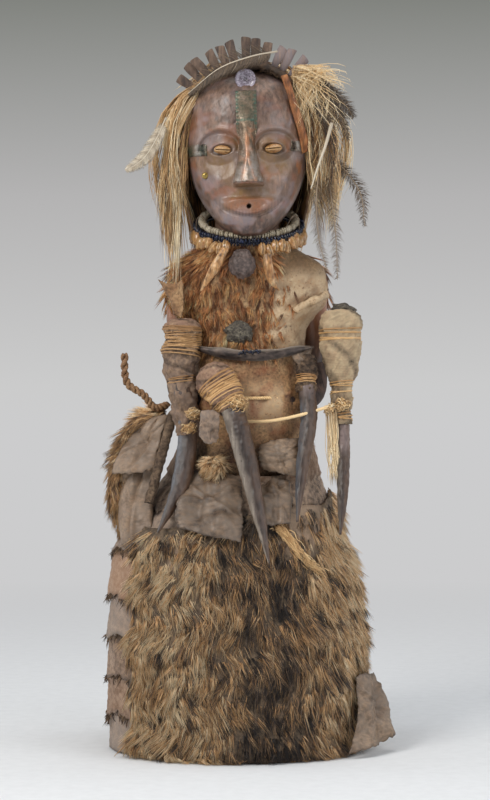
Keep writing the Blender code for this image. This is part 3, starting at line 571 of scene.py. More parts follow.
def faceRelief(x, z):
    # how far the carving stands out of the plain face
    side = np.abs(x)
    outX, upZ = side - eye["out"] - 2, z - eye["up"] + 1
    reach = np.hypot(outX / (eye["lidHalf"] + 2), upZ / np.where(upZ > 0, eye["lidRise"], 34))
    relief = -eye["recess"] * (1 - rise(np.where(upZ < 0, 0.38, 0.86), np.where(upZ < 0, 1.16, 1.04), reach))
    relief += 1.3 * np.exp(-((reach - 1.10) / 0.09) ** 2) * rise(-4, 10, upZ)
    lid = np.hypot(outX / (eye["lidHalf"] * 0.92), (upZ - 2) / np.where(upZ > 2, eye["lidRise"] * 0.86, 19))
    relief += 6.6 * hump(lid, 1.0) ** 0.55
    almond = np.hypot((side - eye["out"]) / 15.5, (z - eye["up"] + 0.10 * (side - eye["out"])) / 7.4)
    relief -= 4.6 * (1 - rise(0.62, 1.0, almond))
    relief += 0.9 * np.exp(-((almond - 1.10) / 0.11) ** 2)
    drop = clipped((nose["top"] - z) / (nose["top"] - nose["base"]))
    half = nose["narrow"] + nose["flare"] * drop**2.2
    height = (5 + nose["height"] * drop**1.25) * (1 - rise(nose["top"] - 8, nose["top"] + 14, z))
    height *= rise(nose["base"] - 5, nose["base"] + 1, z)
    ridge = np.maximum(0, 1 - (side / half) ** 2) ** 0.75
    relief += height * ridge
    relief += 2.6 * blob(side - 15.5, z - 723, 7, 8)  # the wings of the nose
    lift = z - (mouth["up"] + 6 * (x / mouth["half"]) ** 2)
    lip = np.hypot(x / mouth["half"], lift / mouth["lip"])
    relief += 6.0 * (1 - rise(0.74, 1.12, lip)) - 1.7 * (1 - rise(0.50, 0.66, lip))
    relief -= 1.5 * np.exp(-((lip - 1.22) / 0.10) ** 2) * rise(2, -4, lift)  # the line under the lower lip
    cuts = np.abs(np.sin(math.pi * x / mouth["tooth"])) ** 0.5
    band = (1 - rise(0.50, 0.62, lip)) * (1 - rise(25, 30, side))
    relief -= 1.1 * (1 - rise(0.0, 0.55, cuts)) * band
    relief -= 0.7 * np.exp(-(lift / 0.8) ** 2) * band  # the line between the rows of teeth
    relief -= 13 * (1 - rise(0.75, 1.0, np.hypot(x, lift) / mouth["hole"]))
    relief -= 1.2 * blob(side - 27, z - 706, 12, 20)  # hollows beside the mouth
    return relief


def facePlace(x, z, out=0.0):
    # a point in front of the face by out, at x and z of the upright head
    half, front, back, middle = follow(headStations, z)
    share = np.maximum(0, 1 - np.minimum(np.abs(x) / half, 1) ** facePower)
    return onHead(x, middle - front * share ** (1 / facePower) - faceRelief(x, z) - out, z)


woodLook = {
    "blotches": 26, "grain": 240, "grainStretch": (1, 1, 0.35), "grainDark": 168, "swell": 1.4,
    "colours": [(0.28, (84, 62, 52)), (0.42, (112, 86, 72)), (0.52, (128, 102, 88)), (0.64, (146, 114, 94)),
                (0.78, (120, 100, 92))],
    "stains": [("ochre", (130, 98, 56), 0.9), ("ruddy", (150, 94, 68), 0.7), ("lilac", (156, 146, 152), 0.7),
               ("dark", (34, 25, 23), 0.95), ("orange", (160, 96, 46), 0.95)],
    "specks": {"scale": 420, "from": 0.66, "strength": 0.55, "colour": (48, 36, 34)},
    "rough": (0.30, 0.48), "relief": 0.6, "sockets": {"Coat Weight": 0.25, "Coat Roughness": 0.3},
}
wood = natural("carvedWood", woodLook)


def carvedHead():
    rows, columns = 150, 184
    share = evenly(rows)
    z = 650 + 218 * (share - 0.055 * np.sin(fullTurn * share))
    turn = turnsOf(columns)
    angle = turn - 0.55 * np.sin(turn)
    half, front, back, middle = [v[:, None] for v in follow(headStations, z)]
    s, c = np.sin(angle)[None], np.cos(angle)[None]
    x = rounded(s, facePower) * half
    y = middle - rounded(c, facePower) * np.where(c > 0, front, back)
    z = z[:, None] + 0 * x
    facing = rise(0.0, 0.35, c)
    y = y - faceRelief(x, z) * facing
    places = onHead(x, y, z)
    places[..., 1] += 0.35 * ripple(places, 26, 3) + 0.16 * ripple(places, 7, 4)
    side = np.abs(x)
    uneven = ripple(places, 34, 5)
    eyeReach = np.hypot((side - 34) / 30, (z - 756) / 34)
    mouthReach = np.hypot(x / 42, (z - 697) / 22)
    almond = np.hypot((side - 32) / 14.5, (z - 759) / 7.5)
    lipLines = (0.55 * np.cos(x * 0.78) ** 8 * rise(0.55, 0.8, mouthReach) * rise(1.05, 0.9, mouthReach)
                * rise(700, 694, z))
    redLips = 0.9 * (1 - rise(0.8, 1.05, np.hypot(x / 34, (z - 688 - 6 * (x / 34) ** 2) / 11)))
    marks = {
        "ochre": clipped((1 - rise(0.7, 1.25, eyeReach)) * (0.6 + 0.3 * uneven)
                         + (1 - rise(0.55, 1.1, mouthReach)) * (0.75 + 0.3 * uneven)
                         + 0.8 * blob(side - 24, z - 735, 12, 34)) * facing,
        "ruddy": clipped(rise(0.1, 0.9, ripple(places, 46, 6)) * 0.8 + redLips) * facing,
        # lilac: painted sheen, lilac-grey patches for the light reflected on the lacquer, more on the lower face
        # and the sides
        "lilac": clipped(rise(-0.1, 0.8, ripple(places, 40, 8))
                         * (0.35 + 0.65 * rise(690, 670, z) + 0.3 * rise(20, 60, side))) * facing,
        # dark: the resin round the eyes, the chin mark and the hatched lines on the lips are the wood's own colour;
        # the darkening in the mouth hole, below the mouth, over the brow and crown and on the sides and back of the
        # head is painted shade
        "dark": clipped(lipLines + (1 - rise(0.75, 1.05, almond)) * 0.95 + 0.9 * blob(x, z - 660, 14, 7)
                        + 0.42 * rise(684, 664, z) + 0.8 * rise(842, 866, z)
                        + 0.42 * rise(764, 806, z) * (0.8 + 0.4 * uneven)
                        + (1 - rise(0.8, 1.1, np.hypot(x, z - 688) / 3.4)) + 0.55 * (1 - facing)),
        "orange": clipped(1.3 * blob(x - 62, z - 735, 8, 14) * rise(-0.4, 0.3, uneven)
                          + blob(side - 66, z - 790, 14, 26) * 0.35) * facing,
    }
    ends = np.array([places[0].mean(0), places[-1].mean(0)])
    faces = cappedFaces(rows, columns)
    values = {k: np.concatenate([np.ravel(v + 0 * x), [0, 1]]) for k, v in marks.items()}
    makePiece("carvedHead", (np.concatenate([places.reshape(-1, 3), ends]), faces, values), wood,
              ["figure"])


carvedHead()
print("head carved")


# The body under the dress

torsoStations = [  # height, half width, half depth, y of the middle
    (262, 70, 56, 4), (300, 84, 66, 2), (350, 78, 65, -2), (400, 72, 66, -6), (440, 70, 68, -9), (485, 66, 60, -6),
    (530, 66, 50, -1), (570, 76, 45, 1), (600, 74, 41, 2), (622, 52, 40, 2), (640, 43, 41, 3), (700, 40, 42, 6),
]
limbs = {
    "arm": {"path": [(74, 2, 613), (78, 2, 600), (82, 4, 570), (85, 8, 500), (84, 2, 456), (68, -40, 444),
                     (46, -64, 442), (26, -76, 446)], "radii": [6, 17, 20, 17, 17, 14, 13, 7], "flat": 1.0},
    "leg": {"path": [(38, 0, 300), (43, -8, 230), (45, -14, 165), (45, 2, 112), (44, 4, 46)],
            "radii": [30, 35, 31, 29, 23], "flat": 1.0},
    "foot": {"path": [(44, 26, 60), (44, -20, 60), (46, -62, 56)], "radii": [15, 21, 15], "flat": 0.8},
}
base = {"radius": 112, "height": 50, "edge": 4}
bodyPower = 2.3


def ovalRings(stations, heights, columns, power):
    half, depth, middle = [v[:, None] for v in follow(stations, heights)]
    angle = turnsOf(columns)
    x = rounded(np.sin(angle)[None], power) * half
    y = middle - rounded(np.cos(angle)[None], power) * depth
    return stacked(x, y, np.asarray(heights, float)[:, None])


def closedRings(rings, values=None):
    rows, sides = rings.shape[:2]
    places = np.concatenate([rings.reshape(-1, 3), rings[0].mean(0)[None], rings[-1].mean(0)[None]])
    faces = cappedFaces(rows, sides)
    made = {k: np.concatenate([np.ravel(v), [0, 0]]) for k, v in (values or {}).items()}
    return places, faces, made


# painted shade: the forearms are coloured near black to stand for the shade they lie in under the horns and bundles
paintedShadeWood = natural("paintedShadeWood", {"blotches": 40, "grain": 260, "grainStretch": (1, 1, 0.3), "relief": 0.6,
                                  "rough": (0.9, 0.7),
                                  "colours": [(0.3, (45, 31, 25)), (0.5, (72, 50, 39)), (0.7, (105, 73, 55))]})


def carvedBody():
    torso = ovalRings(torsoStations, np.linspace(262, 700, 60), 56, bodyPower)
    torso += unit(torso * [1, 1, 0]) * (0.5 * ripple(torso, 22, 11))[..., None]
    parts, lower = [closedRings(torso)], []
    for side in (-1, 1):
        for name, limb in limbs.items():
            path = curve([(side * x, y, z) for x, y, z in limb["path"]], evenly(54))
            radii = eased(limb["radii"], evenly(54))
            cut = 25 if name == "arm" else len(path)
            elbowShade = np.repeat(rise(0.62, 1.0, evenly(cut)), 24)  # painted shade: the arm darkened towards the elbow, where it goes into the shade under the dress
            stains = ({"orange": 0.7 * (1 - elbowShade), "ruddy": 0.5 * (1 - elbowShade), "dark": 0.85 * elbowShade}
                      if name == "arm" else {})
            parts.append(tube(path[:cut], radii[:cut], 24, limb["flat"], values=stains))
            if name == "arm":
                lower.append(tube(path[cut - 1:], radii[cut - 1:], 24))
    radius, height, edge = base["radius"], base["height"], base["edge"]
    heights = np.concatenate([np.linspace(0, edge, 4), np.linspace(edge * 2, height - edge * 2, 8),
                              np.linspace(height - edge, height, 4)])
    inset = np.maximum(edge - heights, 0) + np.maximum(heights - height + edge, 0)
    ring = ovalRings([(0, 1, 1, 0), (height, 1, 1, 0)], heights, 72, 2.0)
    ring[..., :2] *= (radius - inset)[:, None, None]
    ring[..., :2] *= 1 - 0.006 * (1 + ripple(ring, 40, 12))[..., None]
    parts.append(closedRings(ring))
    makePiece("carvedBody", joined(parts), wood, ["figure"])
    makePiece("forearms", joined(lower), paintedShadeWood)


carvedBody()
print("body carved")


# Fur: tufts of fibres that lie down over a surface

def furCoat(place, look, seed):
    draw = np.random.default_rng(seed)
    tufts = look["fibres"] // look["perTuft"]
    u, v = draw.random(tufts), draw.random(tufts)
    if "keep" in look:
        kept = draw.random(tufts) < look["keep"](place(u, v), u, v)
        u, v = u[kept], v[kept]
    step = 0.004
    root = place(u, v)
    across = unit(place(u + step, v) - place(u - step, v))
    up = unit(place(u, v + step) - place(u, v - step))
    outward = unit(np.cross(across, up))
    lean = look["lean"] * ripple(root, look.get("leanSize", 60), seed + 1) + 0.22 * draw.normal(size=len(u))
    way = unit(-up + across * lean[:, None])
    length = look["length"] * (1 + look.get("uneven", 0.25) * draw.normal(size=len(u))).clip(0.4, 1.7)
    lift = look["lift"] * (0.35 + 1.1 * draw.random(len(u)) ** 1.5)
    tip = root + way * length[:, None] + outward * lift[:, None]
    per = look["perTuft"]
    a, b = draw.normal(size=(2, len(u), per)) * look["tuft"]
    starts = root[:, None] + across[:, None] * a[..., None] + up[:, None] * b[..., None] - outward[:, None] * 1.2
    ends = tip[:, None] + across[:, None] * a[..., None] * look.get("close", 0.35) + up[:, None] * b[..., None]
    ends = ends + draw.normal(size=ends.shape) * look.get("loose", 1.1)
    bow = outward[:, None] * (lift[:, None] * (0.45 + 0.5 * draw.random((len(u), per))))[..., None]
    middles = (starts + ends) / 2 + bow
    t = np.array([0, 1.0])[:, None]
    paths = starts[:, :, None] * (1 - t) ** 2 + middles[:, :, None] * 2 * t * (1 - t) + ends[:, :, None] * t**2
    paths[..., 2] = np.maximum(paths[..., 2], 0.8)
    tone = look["tone"](root, u, v)[:, None] + look.get("tuftTone", 0.13) * draw.normal(size=(len(u), 1))
    tone = tone + look.get("fibreTone", 0.10) * draw.normal(size=(len(u), per))
    thick = look["thick"] * (0.75 + 0.5 * draw.random((len(u) * per, 1)))
    return strands(paths.reshape(-1, len(t), 3), thick, {"tone": clipped(tone.ravel())})


# The hide coat

hideStations = [  # height, half width, half depth, y of the middle
    (350, 80, 75, -5), (440, 80, 79, -9), (490, 76, 71, -6), (532, 78, 62, -2), (552, 92, 58, 0), (566, 103, 55, 1),
    (600, 103, 52, 2), (614, 97, 49, 2), (628, 77, 47, 2), (640, 56, 47, 3), (647, 49, 46, 3),
]
coat = {"low": 351, "waist": 449, "top": 646}


def hidePlace(angle, z, out=0.0):
    half, depth, middle = follow(hideStations, z)
    x = rounded(np.sin(angle), bodyPower) * (half + out)
    y = middle - rounded(np.cos(angle), bodyPower) * (depth + out)
    return stacked(x, y, z)


def coatPlace(angle, z):
    # on the coat with its folds, which fade out under the collar
    folds = hideFolds(hidePlace(angle, z)[..., 0], z, angle)
    return hidePlace(angle, z, folds * rise(coat["top"], coat["top"] - 21, z))


def hideFolds(x, z, angle):
    places = stacked(x, 60 * np.cos(angle), z)
    folds = 1.2 * ripple(places * [1, 1, 0.45], 30, 21) + 0.6 * ripple(places, 11, 22)
    waist = -2.2 * hump((z - coat["waist"]) / 7, 1)
    gather = (1.5 * np.sin(x / 3.4 + 2.5 * ripple(places, 50, 23)) * hump((z - coat["waist"]) / 42, 1)
              * (np.cos(angle) > 0))
    forearms = 5.0 * hump((z - 446) / 34, 1) * rise(16, 40, np.abs(x)) * (np.cos(angle) > 0)
    return folds + gather + waist + forearms - 2.0


hideLook = {
    "blotches": 34, "grain": 300, "grainDark": 150, "swell": 1.0,
    "colours": [(0.30, (112, 78, 50)), (0.45, (150, 110, 72)), (0.58, (172, 134, 92)), (0.74, (194, 160, 118))],
    "stains": [("cream", (206, 182, 148), 0.95), ("olive", (116, 92, 64), 0.9), ("russet", (124, 62, 30), 0.95),
               ("dark", (44, 32, 26), 0.95)],
    "specks": {"scale": 300, "from": 0.62, "strength": 0.6, "colour": (78, 56, 40)},
    "rough": (0.80, 0.55), "relief": 0.7,
}
hideSkin = natural("hideSkin", hideLook)
chestFurFinish = fibrous("chestFur", {
    "tones": [(0.0, (88, 56, 38)), (0.3, (164, 104, 64)), (0.55, (238, 166, 104)), (0.78, (255, 210, 146)),
              (1.0, (255, 244, 196))],
    "length": [(0.0, (170, 156, 146)), (0.5, (235, 230, 224)), (1.0, (255, 255, 255))],
    "dustColour": (190, 164, 130), "dust": 0.1, "rough": (0.62, 0.45)})


def wrapSlab(grid, thickness, values=None):
    # a closed sheet that goes all the way round, pushed inwards by its thickness
    rows, columns = grid.shape[:2]
    down = np.gradient(grid, axis=0)
    across = np.roll(grid, -1, 1) - np.roll(grid, 1, 1)
    outward = unit(np.cross(across, down))
    count = rows * columns
    outer = gridFaces(rows, columns, True)
    ring = np.arange(columns)
    after = np.roll(ring, -1)
    low = np.concatenate([np.column_stack([ring, ring + count, after + count]),
                          np.column_stack([ring, after + count, after])])
    high = low[:, ::-1] + (rows - 1) * columns
    places = np.concatenate([grid.reshape(-1, 3), (grid - outward * thickness).reshape(-1, 3)])
    return places, np.concatenate([outer, outer[:, ::-1] + count, low, high]), doubled(values)


def hideCoat():
    rows, columns = 72, 106
    z = np.linspace(coat["low"], coat["top"], rows)[:, None]
    angle = (turnsOf(columns) - math.pi)[None]
    flatPlaces = hidePlace(angle, z)
    x = flatPlaces[..., 0]
    grid = coatPlace(angle, z)
    front = np.cos(angle) > 0
    uneven = ripple(flatPlaces, 24, 25)
    marks = {
        "cream": clipped(rise(22, 36, x + 6 * uneven) * rise(505, 520, z) * rise(618, 604, z)
                         * (0.75 + 0.5 * uneven)
                         + 0.55 * (np.abs(x - 14) < 30) * hump((z - 440) / 40, 1)) * front,
        "olive": clipped(rise(36, 46, x) * rise(596, 606, z) + 0.7 * rise(-60, -80, x) * rise(560, 600, z)) * front,
        "russet": clipped(1.2 * hump((x - 6 - 0.06 * (z - 440)) / 5, 1) * hump((z - 438) / 26, 1)
                          + 0.6 * rise(0.2, 0.9, uneven) * rise(520, 480, z)) * front,
        # dark: painted shade at the bottom of the coat behind the horns, in the waist crease and in a band behind
        # the blade
        "dark": clipped(0.9 * rise(400, 380, z) + 0.8 * hump((z - coat["waist"]) / 5, 1) * (0.5 + uneven)
                        + 0.5 * hump((z - 500) / 14, 1) * front),
    }
    coatPiece = makePiece("hideCoat", wrapSlab(grid, 2.6, filled(marks, x)), hideSkin, ["chest_hide"])

    def chestPlace(u, v):
        angle, z = np.radians(-84 + 118 * u), 497 + 146 * v
        return coatPlace(angle, z)

    def chestKeep(places, u, v):
        x, z = places[:, 0], places[:, 2]
        edge = 10 * ripple(places, 22, 26)
        return rise(38, 26, x + edge) * rise(506, 522, z + edge) * (0.35 + 0.65 * rise(-92, -60, x)) + 0.08

    def chestTone(places, u, v):
        x, z = places[:, 0], places[:, 2]
        return (0.44 + 0.22 * ripple(places, 40, 27) + 0.25 * rise(-50, -88, x) + 0.22 * rise(545, 510, z)
                - 0.12 * hump(x / 30, 1))

    fur = {"fibres": 11600, "perTuft": 6, "tuft": 1.3, "length": 17, "tuftTone": 0.16, "lift": 3.4, "lean": 0.35,
           "thick": 0.62, "keep": chestKeep, "tone": chestTone, "close": 0.5}
    chestFur = makePiece("chestFur", furCoat(chestPlace, fur, 31), chestFurFinish, settle=False)

    def backPlace(u, v):
        angle, z = np.radians(96 + 168 * u), 395 + 240 * v
        return coatPlace(angle, z)

    back = {"fibres": 6600, "perTuft": 6, "tuft": 2.3, "length": 27, "lift": 3.4, "lean": 0.4, "thick": 0.9,
            "tone": lambda places, u, v: 0.30 + 0.22 * ripple(places, 50, 28), "close": 0.6}
    backFur = makePiece("backFur", furCoat(backPlace, back, 32), chestFurFinish, settle=False)


hideCoat()
print("hide coat fitted")


# The two skirts

skirtStations = [  # height, half width, half depth, x and y of the middle
    (0, 154, 136, -17, -2), (60, 155, 138, -17, -4), (130, 154, 136, -18, -6), (200, 149, 129, -21, -7),
    (260, 138, 117, -25, -7), (310, 116, 101, -15, -6), (350, 94, 87, -5, -5), (392, 80, 74, 0, -5),
]
peltLeft, peltRight = math.radians(-50), math.radians(104)
clothTiers = [44, 92, 143, 196, 252, 304, 348]
skirtPower = 2.2


def skirtPlace(angle, z, out):
    half, depth, x, y = follow(skirtStations, z)
    fold = 4.0 * rise(392, 150, z) * np.sin(9 * angle + 0.8)
    fold = fold * (0.35 + 0.65 * rise(math.radians(50), math.radians(100), np.abs(angle)))
    return stacked(x + rounded(np.sin(angle), skirtPower) * (half + fold + out),
                   y - rounded(np.cos(angle), skirtPower) * (depth + fold + out), z)


clothLook = {
    "thread": 1.9, "blotches": 20, "grain": 160, "relief": 0.5,
    "colours": [(0.30, (140, 112, 88)), (0.44, (166, 138, 114)), (0.56, (182, 154, 130)), (0.70, (194, 164, 134))],
    "stains": [("edge", (56, 45, 38), 0.95), ("mauve", (172, 156, 144), 0.55), ("rust", (190, 142, 104), 0.5)],
    "sockets": {"Sheen Weight": 0.12, "Sheen Roughness": 0.5},
}
rafiaCloth = woven("rafiaCloth", clothLook)
frayFinish = fibrous("frayedThread", {
    "tones": [(0.0, (40, 32, 29)), (0.5, (92, 74, 60)), (1.0, (168, 136, 100))],
    "length": [(0.0, (200, 200, 200)), (1.0, (255, 255, 255))], "dustColour": (150, 124, 100), "rough": (0.9, 0.7)})


def clothRim(angle):
    return 352 + 36 * rise(math.radians(24), math.radians(78), np.abs(angle))


def tierShare(angle, z):
    # 0 at the top of a tier, 1 at its ragged lower edge, and which tier it is
    places = skirtPlace(angle, z, 0)
    ragged = z + 5 * ripple(places * [1, 1, 0.2], 60, 41) + 2.2 * ripple(places * [1, 1, 0.2], 16, 42)
    edges = np.array([-40, *clothTiers, 420])
    which = np.clip(np.searchsorted(edges, ragged) - 1, 0, len(edges) - 2)
    return 1 - (ragged - edges[which]) / (edges[which + 1] - edges[which]), which


def clothSkirt():
    rows, columns = 84, 144
    angle = (turnsOf(columns) - math.pi)[None]
    z = 2 + (clothRim(angle) - 2) * evenly(rows)[:, None]
    share, which = tierShare(angle, z)
    places = skirtPlace(angle, z, 0)
    out = 3.0 + 3.6 * share**1.5 + 1.1 * ripple(places, 34, 43) + 0.5 * ripple(places, 12, 44)
    grid = skirtPlace(angle, z, out)
    tint = np.sin(which * 2.4 + 1.3)
    marks = {"across": angle * 150 + 0 * z, "down": -z + 0 * angle,
             "edge": clipped(rise(0.86, 0.97, share) + 0.7 * rise(12, 0, z)),
             "mauve": clipped(tint) + 0 * z, "rust": clipped(-tint) + 0 * z}
    skirt = makePiece("clothSkirt", wrapSlab(grid, 2.2, marks), rafiaCloth, ["cloth_skirt"])
    draw = np.random.default_rng(45)
    paths = []
    for tier in clothTiers[:-1]:
        count = 240
        turn = np.concatenate([draw.uniform(-math.pi, -0.80, count), draw.uniform(1.75, math.pi, count // 2)])
        height = np.full(len(turn), float(tier))
        for attempt in range(3):
            spot = skirtPlace(turn, height, 0)
            height = tier - 5 * ripple(spot * [1, 1, 0.2], 60, 41) - 2.2 * ripple(spot * [1, 1, 0.2], 16, 42)
        root = skirtPlace(turn, height + 2, 5.6)
        outward = unit(root * [1, 1, 0])
        length = 5 + 9 * draw.random(len(turn)) ** 2
        wild = draw.normal(size=(len(turn), 3)) * [4, 4, 3]
        paths.append(np.stack([root, root + outward * 2.0 - [0, 0, 1] * (length * 0.6)[:, None] + wild * 0.3,
                               root + outward * 1.5 - [0, 0, 1] * length[:, None] + wild], 1))
    paths = np.concatenate(paths)
    paths[..., 2] = np.maximum(paths[..., 2], 1)
    fray = makePiece("clothFray", strands(paths, 0.6, {"tone": draw.random(len(paths)) ** 1.6}), frayFinish,
                     settle=False)


def peltEdge(u):
    angle = peltLeft + (peltRight - peltLeft) * u
    low = 2 + 7 * hump(angle - math.radians(-38), 0.25) + 26 * rise(math.radians(45), peltRight, angle)
    high = 301 + 14 * np.sin(2.2 * angle) + 34 * rise(0.9, 1.7, angle)
    return angle, low, high


def peltPlace(u, v, out=8.6):
    angle, low, high = peltEdge(u)
    angle = angle - 0.05 * np.sin(9 * math.pi * v) * (1 - 2 * u)
    z = low + (high - low) * v
    spot = skirtPlace(angle, z, 0)
    return skirtPlace(angle, z, out + 2.2 * (1 + ripple(spot, 70, 51)) + 1.0 * ripple(spot, 26, 52))


def peltBare(places):
    # where the skin shows: a worn patch at the upper right and a small one at the upper left
    x, z = places[..., 0], places[..., 2]
    edge = 7 * ripple(places, 20, 53)
    return clipped(1.1 * (1 - rise(0.6, 1.0, np.hypot((x - 66 + edge) / 34, (z - 290 + edge) / 46)))
                   + (1 - rise(0.5, 1.0, np.hypot((x + 88) / 12, (z - 252 + edge) / 20))))


peltSkinFinish = natural("peltSkin", {
    "blotches": 40, "grain": 320, "grainDark": 130,
    "colours": [(0.3, (74, 60, 47)), (0.5, (106, 87, 66)), (0.7, (134, 110, 84))],
    "stains": [("bare", (158, 134, 112), 0.9)], "rough": (0.85, 0.65), "relief": 0.6})
peltFurFinish = fibrous("peltFur", {
    "tones": [(0.0, (26, 20, 21)), (0.22, (66, 56, 52)), (0.40, (134, 110, 90)), (0.56, (204, 158, 106)),
              (0.76, (246, 202, 148)), (1.0, (255, 234, 196))],
    "length": [(0.0, (120, 108, 100)), (0.35, (224, 218, 212)), (1.0, (255, 255, 255))],
    "dustColour": (150, 132, 110), "dust": 0.08, "rough": (0.58, 0.42)})


def spots(places, seed):
    # dark rounded spots, each in its own square of a loose pattern
    draw = np.random.default_rng(seed)
    size = 41
    jitter = draw.uniform(-0.24, 0.24, (24, 24, 2))
    wide = draw.uniform(0.75, 1.2, (24, 24))
    angle = np.arctan2(places[..., 0] + 17, -places[..., 1])
    a, b = angle * 160 / size + 12, places[..., 2] / size + 2
    i, j = np.clip(a.astype(int), 0, 23), np.clip(b.astype(int), 0, 23)
    middle = jitter[i, j]
    reach = np.hypot((a - i - 0.5 - middle[..., 0]) * 1.25, b - j - 0.5 - middle[..., 1]) * size / 13 / wide[i, j]
    return 1 - rise(0.55, 1.1, reach)


def peltSkirt():
    rows, columns = 60, 90
    v, u = np.meshgrid(evenly(rows), evenly(columns), indexing="ij")
    grid = peltPlace(u, v)
    skin = makePiece("peltSkin", slab(grid, 2.4, {"bare": peltBare(grid)}), peltSkinFinish, ["pelt_skirt"])

    def tone(places, u, v):
        x, drawn = places[:, 0], places * [1, 1, 0.5]
        streaks = 0.14 * ripple(drawn, 50, 54) + 0.10 * ripple(drawn, 14, 55)
        return (0.52 + 0.34 * rise(0, -80, x) + 0.24 * rise(55, 115, x) + streaks - 0.50 * spots(places, 56)
                - 0.24 * hump((x - 28) / 62, 1))

    def keep(places, u, v):
        return 1 - 0.68 * peltBare(places)

    for name, low, seed in (("peltFurLower", 0.0, 57), ("peltFurUpper", 0.5, 58)):
        look = {"fibres": 22400, "perTuft": 6, "tuft": 2.0, "close": 0.6, "length": 24, "lift": 5.2, "lean": 0.40,
                "leanSize": 80, "thick": 0.80, "keep": keep, "tone": tone, "tuftTone": 0.12, "fibreTone": 0.17,
                "uneven": 0.3, "loose": 1.3}
        part = furCoat(lambda u, v, low=low: peltPlace(u, low + 0.5 * v), look, seed)
        makePiece(name, part, peltFurFinish, settle=False)


clothSkirt()
print("cloth skirt hung")
peltSkirt()
print("pelt skirt draped")


# Face fittings

patina = natural("patinatedCopper", {
    "blotches": 70, "grain": 420, "grainDark": 150,
    "colours": [(0.32, (92, 78, 62)), (0.5, (132, 112, 92)), (0.68, (160, 140, 124))],
    "stains": [("copper", (178, 120, 84), 0.9), ("verdigris", (62, 92, 80), 0.95), ("pale", (168, 162, 156), 0.8),
               ("dark", (40, 36, 34), 0.95)],
    "rough": (0.50, 0.30), "relief": 0.35, "sockets": {"Metallic": 0.55}})
# the slit stain is painted shade in the shell's opening
shellFinish = natural("goldenShell", {
    "blotches": 160, "grain": 500, "grainDark": 170,
    "colours": [(0.3, (128, 84, 42)), (0.5, (172, 122, 68)), (0.7, (200, 156, 100))],
    "stains": [("slit", (30, 18, 12), 1.0), ("lip", (222, 186, 132), 0.6)], "rough": (0.24, 0.38), "relief": 0.2,
    "sockets": {"Coat Weight": 0.5, "Coat Roughness": 0.15}})
brass = natural("wornBrass", {
    "blotches": 300, "grain": 700, "grainDark": 140, "colours": [(0.3, (150, 122, 60)), (0.7, (208, 182, 112))],
    "rough": (0.28, 0.42), "relief": 0.08, "sockets": {"Metallic": 0.9}})
discFinish = natural("violetDisc", {
    "blotches": 240, "grain": 600, "grainDark": 160,
    "colours": [(0.35, (128, 114, 126)), (0.55, (176, 166, 180)), (0.7, (206, 200, 210))],
    "stains": [("dark", (44, 38, 44), 0.95)], "rough": (0.20, 0.35), "relief": 0.12,
    "sockets": {"Coat Weight": 0.4}})


def stripEdges(z):
    drop = clipped((nose["top"] - 8 - z) / (nose["top"] - 8 - nose["base"]))
    lower = 8.5 + 4.5 * (1 - rise(0, 0.25, drop)) + 10.5 * drop**2.2
    return np.where(z > nose["top"] - 8, 13.0, lower)


def middleOf(node):
    # the middle of a solid's box, in millimetres
    low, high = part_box(node)
    return np.array([(low[i] + high[i]) * 500 for i in range(3)])


def facePanel(name, node, top, bottom, edges, shape, marks, rows=90, columns=34):
    z = np.linspace(top, bottom, rows)[:, None]
    low, high = edges(z)
    x = low + (high - low) * evenly(columns)[None] + 0 * z
    z = z + 0.5 * np.sin(x * 0.9 + top)
    grid = facePlace(x, z, 0.7 + shape(x, z))
    makePiece(name, slab(grid, 1.5, filled(marks(x, z), x)), patina, [node])


